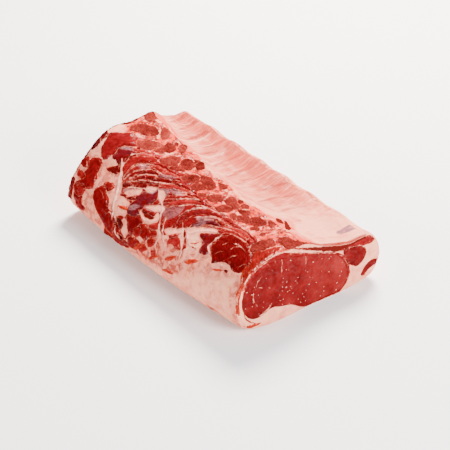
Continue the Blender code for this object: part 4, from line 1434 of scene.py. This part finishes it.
def plate_painting(spots):
    """Streaks along the ribs, which slant back from the vertebrae, stronger over the far half."""
    paint = Painting(spots)
    crest = girth(CREST)
    share = (paint.spots[:, 1] - crest) / (girth(PLATE_RIM) - crest)
    paint.across = paint.spots[:, 0] - STREAK_SWEEP * np.clip(share, 0, 1)
    paint.run = paint.spots[:, 1].copy()
    paint.fields["tone"] = smooth(60, 200, paint.spots[:, 0]) * (0.55 + 0.45 * smooth(0.3, 0.9, share))
    for half, amount, pixels in PLATE_STREAKS:
        at, depth, _, _ = paint.along_curve(half, under_pixels(pixels))
        streak = amount * smooth(-STREAK_EDGE, STREAK_EDGE, depth)
        paint.fields["orange"][at] = np.maximum(paint.fields["orange"][at], streak)
    for tone, pixels in BONE_LOBES:
        paint.patch(under_pixels(pixels), grow=LOBE_GROW, tone=tone)
    for half, pixels in PLATE_RIDGES:
        paint.sinew(half, under_pixels(pixels))
    for amount, fade, pixels in BLOODY_ZONES[:1]:
        paint.tint("blood", amount, under_pixels(pixels), fade)
    paint.tint("film", 1.0, under_pixels(BRUISE))
    return paint


CREAM, ROSE, STREAK, STREAK_DARK = "#EB9880", "#D26C5A", "#A93E32", "#6C130D"
LOBE_RED, BRUISE_VIOLET = "#541410", "#704858"
# How close the bands, streaks and hairs lie across and along the ribs.
BANDS, STREAKS, HAIRS = (0.085, 0.006, 1.0), (0.36, 0.02, 1.0), (1.6, 0.06, 1.0)
SKIN_CLOUDS, SKIN_FINE = (45.0, 4.0, 0.6), (700.0, 3.0)


def membrane(name):
    """Skin over the ribs: cream, with streaks of red along the ribs and white ridges."""
    finish = Finish(name, Specular_IOR_Level=0.0, Coat_Roughness=0.2)
    fields = ("meat", "strand", "tone", "orange", "film", "blood")
    paint = {field: finish.attribute(field) for field in fields}
    grain = finish.attribute("grain", "Vector")
    place = finish.object_place()
    bands = finish.noise(finish.stretch(grain, BANDS), 1.0, 4.0, 0.6, 0.4)
    streaks = finish.noise(finish.stretch(grain, STREAKS), 1.0, 4.0, 0.65, 0.3)
    hairs = finish.noise(finish.stretch(grain, HAIRS), 1.0, 2.0)
    cloudy, fine = finish.noise(place, *SKIN_CLOUDS), finish.noise(place, *SKIN_FINE)
    base = (cloudy * 0.7 + bands * 0.3 - paint["tone"] * 0.16 + 0.06).ramp((0.38, ROSE), (0.56, CREAM))
    pink = (streaks * 0.55 + bands * 0.3 + hairs * 0.15 + paint["tone"] * 0.1).rise(0.46, 0.62)
    colour = finish.mix(pink * (paint["tone"] * 0.72 + 0.13), base, STREAK)
    colour = finish.mix(paint["blood"] * cloudy.rise(0.3, 0.6) * 0.8, colour, FAT_PINK)
    colour = finish.mix((paint["meat"] + (cloudy - 0.5) * 3.0).rise(-1.0, 1.0), colour, LOBE_RED)
    red = paint["orange"] * (streaks + hairs * 0.5).rise(0.4, 0.72)
    colour = finish.mix(red, colour, finish.mix(hairs.rise(0.4, 0.6), STREAK_DARK, STREAK))
    colour = finish.mix(paint["film"] * cloudy.rise(0.3, 0.5) * 0.9, colour, BRUISE_VIOLET)
    white = (paint["strand"] + (streaks - 0.5) * 4.0).rise(-1.2, 1.2)
    colour = finish.mix(white * 0.5, colour, SINEW)
    height = streaks * 0.9 + hairs * 0.5 + fine * 0.3 + white * 0.8
    roughness = 0.4 + (cloudy - 0.5) * 0.4
    coat = cloudy.rise(0.52, 0.65) * 0.06
    return finish.surface(height, bump=0.5, Base_Color=colour, Roughness=roughness, Coat_Weight=coat)


plate_places = even_places(CREST, PLATE_RIM, PLATE_PITCH)
plate_along = np.linspace(0, LENGTH, int(LENGTH / PLATE_PITCH) + 1)
plate_spots = grid_spots(plate_along, plate_places)
plate_paint = plate_painting(plate_spots)
plate_share = (plate_places - CREST) / (PLATE_RIM - CREST)
plate_lift = wander(np.stack([plate_paint.across, plate_paint.run * 0.25], 1), 5.0, 9.0) * RIPPLE_HEIGHT
plate_ridges = smooth(-2, 1.6, plate_paint.strand) * RIDGE_HEIGHT
plate_lift += wander(plate_paint.spots, 18, 2.0) * HUMP_HEIGHT + plate_ridges
plate_lift = plate_lift.reshape(plate_spots.shape[:2]) * smooth(0, 0.05, plate_share)
plate_lift *= smooth(1, 0.97, plate_share)
plate_ends = (CREST, PLATE_RIM)
plate = curved_layer(
    plate_ends, plate_along, plate_places, plate_lift, plate_paint, PLATE_DEPTH, PLATE_PITCH, (5, 6)
)
plate_finish = membrane("membrane")
plate.piece("rib_plate_membrane", plate_finish, ["rib_plate"], "membrane")

# Marbling: flecks and short threads of white fat that grew between the fibres of the eye muscle.
# The knife cut through them, so they lie scattered over both cuts, flush with the lean.
FLECK_SUNK, CUT_FACING = 0.17, 0.9
# How many there are in a square metre, and the size of one.
FLECKS = {"Density": 4200.0, "Grain Size": 0.95 * MM, "Seed": 7}
MARBLING_COLOURS = ("#C8665A", "#F2AA98")
# The smallest and the largest grain, as shares of that size, and how far one may turn either way.
GRAIN_SMALLEST, GRAIN_LARGEST, GRAIN_TURN = (0.35, 0.3, 0.3), (1.9, 0.75, 0.5), 1.6


def scatter_tree():
    """Spreads small flattened grains over a surface, as a Geometry Nodes tree."""
    tree = bpy.data.node_groups.new("scatter_grains", "GeometryNodeTree")
    kinds = {"Geometry": "Geometry", "Density": "Float", "Grain Size": "Float", "Seed": "Int"}
    for name, kind in (*kinds.items(), ("Material", "Material")):
        tree.interface.new_socket(name, in_out="INPUT", socket_type="NodeSocket" + kind)
    tree.interface.new_socket("Geometry", in_out="OUTPUT", socket_type="NodeSocketGeometry")
    add, join = tree.nodes.new, tree.links.new
    given, out = add("NodeGroupInput"), add("NodeGroupOutput")
    spread = add("GeometryNodeDistributePointsOnFaces")
    grain = add("GeometryNodeMeshIcoSphere")
    grain.inputs["Subdivisions"].default_value = 2
    size = add("FunctionNodeRandomValue")
    size.data_type = "FLOAT_VECTOR"
    size.inputs[0].default_value, size.inputs[1].default_value = GRAIN_SMALLEST, GRAIN_LARGEST
    scaled = add("ShaderNodeVectorMath")
    scaled.operation = "SCALE"
    spin = add("FunctionNodeRandomValue")
    spin.data_type = "FLOAT_VECTOR"
    spin.inputs[0].default_value, spin.inputs[1].default_value = (0, 0, -GRAIN_TURN), (0, 0, GRAIN_TURN)
    turn = add("FunctionNodeRotateRotation")
    turn.rotation_space = "LOCAL"
    place = add("GeometryNodeInstanceOnPoints")
    realize, finish = add("GeometryNodeRealizeInstances"), add("GeometryNodeSetMaterial")
    join(given.outputs["Geometry"], spread.inputs["Mesh"])
    join(given.outputs["Density"], spread.inputs["Density"])
    join(given.outputs["Seed"], spread.inputs["Seed"])
    join(size.outputs[0], scaled.inputs[0])
    join(given.outputs["Grain Size"], scaled.inputs["Scale"])
    join(spread.outputs["Points"], place.inputs["Points"])
    join(grain.outputs["Mesh"], place.inputs["Instance"])
    join(spread.outputs["Rotation"], turn.inputs[0])
    join(spin.outputs[0], turn.inputs[1])
    join(turn.outputs[0], place.inputs["Rotation"])
    join(scaled.outputs[0], place.inputs["Scale"])
    join(place.outputs[0], realize.inputs[0])
    join(realize.outputs[0], finish.inputs["Geometry"])
    join(given.outputs["Material"], finish.inputs["Material"])
    join(finish.outputs[0], out.inputs[0])
    return tree


def scatter(name, tree, points, faces, values):
    """Runs the tree on a patch of surface, and keeps the grains as a plain mesh."""
    mesh = bpy.data.meshes.new(name + "_ground")
    mesh.from_pydata(points, [], faces)
    patch = bpy.data.objects.new(name + "_ground", mesh)
    bpy.context.scene.collection.objects.link(patch)
    modifier = patch.modifiers.new("scatter", "NODES")
    modifier.node_group = tree
    for socket in tree.interface.items_tree:
        if socket.name in values:
            modifier[socket.identifier] = values[socket.name]
    shaped = patch.evaluated_get(bpy.context.evaluated_depsgraph_get())
    grains = bpy.data.objects.new(name, bpy.data.meshes.new_from_object(shaped))
    grains.data.name = name
    grains.data.materials.clear()
    grains.data.materials.append(values["Material"])
    patch.modifiers.remove(modifier)
    bpy.data.objects.remove(patch)
    bpy.context.scene.collection.objects.link(grains)
    grains.data.shade_smooth()
    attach(grains, "root")


def grain_finish(name, gloss, blotches, colours, wet_spots):
    """Small grains of one stuff, a little uneven in colour and in shine."""
    finish = Finish(name, Specular_IOR_Level=gloss)
    tone = finish.noise(finish.object_place(), blotches).ramp(*zip((0.35, 0.6), colours))
    shine = finish.noise(finish.object_place(), wet_spots) * 0.3 + 0.3
    return finish.surface(Base_Color=tone, Roughness=shine)


fleck_finish = grain_finish("marbling", 0.1, 260.0, MARBLING_COLOURS, 300.0)
lean = lean_pieces["eye_muscle"].data
grain_tree = scatter_tree()
for name, side in (("eye_marbling", -1), ("far_marbling", 1)):
    points = [tuple(vertex.co - Vector((0, side * FLECK_SUNK, 0)) * MM) for vertex in lean.vertices]
    cut_faces = [face for face in lean.polygons if face.normal.y * side > CUT_FACING]
    faces = [tuple(face.vertices) for face in cut_faces if len(face.vertices) == 3]
    scatter(name, grain_tree, points, faces, {**FLECKS, "Material": fleck_finish})

# Scraps: small shreds of dark red meat along the far rim of the chine side. The knife tore them
# there when the joint was parted from the rest of the back, and they still hang on by a fibre.
SCRAP_COLOURS = ("#3E0404", "#7E1610")
SCRAP_BAND, SCRAP_SUNK, SCRAP_PITCH = (3.2, 0.8), 0.5, 4.0
SCRAPS = {"Density": 110000.0, "Grain Size": 2.6 * MM, "Seed": 3}
scrap_finish = grain_finish("scraps", 0.05, 180.0, SCRAP_COLOURS, 90.0)
scrap_places = even_places(CHINE_RIM + 0.6, CREST - 1.4, SCRAP_PITCH)
scrap_rows = skin(LENGTH - np.array(SCRAP_BAND)[:, None], scrap_places, -SCRAP_SUNK)
scrap_count = len(scrap_places)
scrap_faces = [(i, i + scrap_count, i + scrap_count + 1, i + 1) for i in range(scrap_count - 1)]
scrap_points, scrap_values = scrap_rows.reshape(-1, 3), {**SCRAPS, "Material": scrap_finish}
scatter("rim_scraps", grain_tree, scrap_points, scrap_faces, scrap_values)
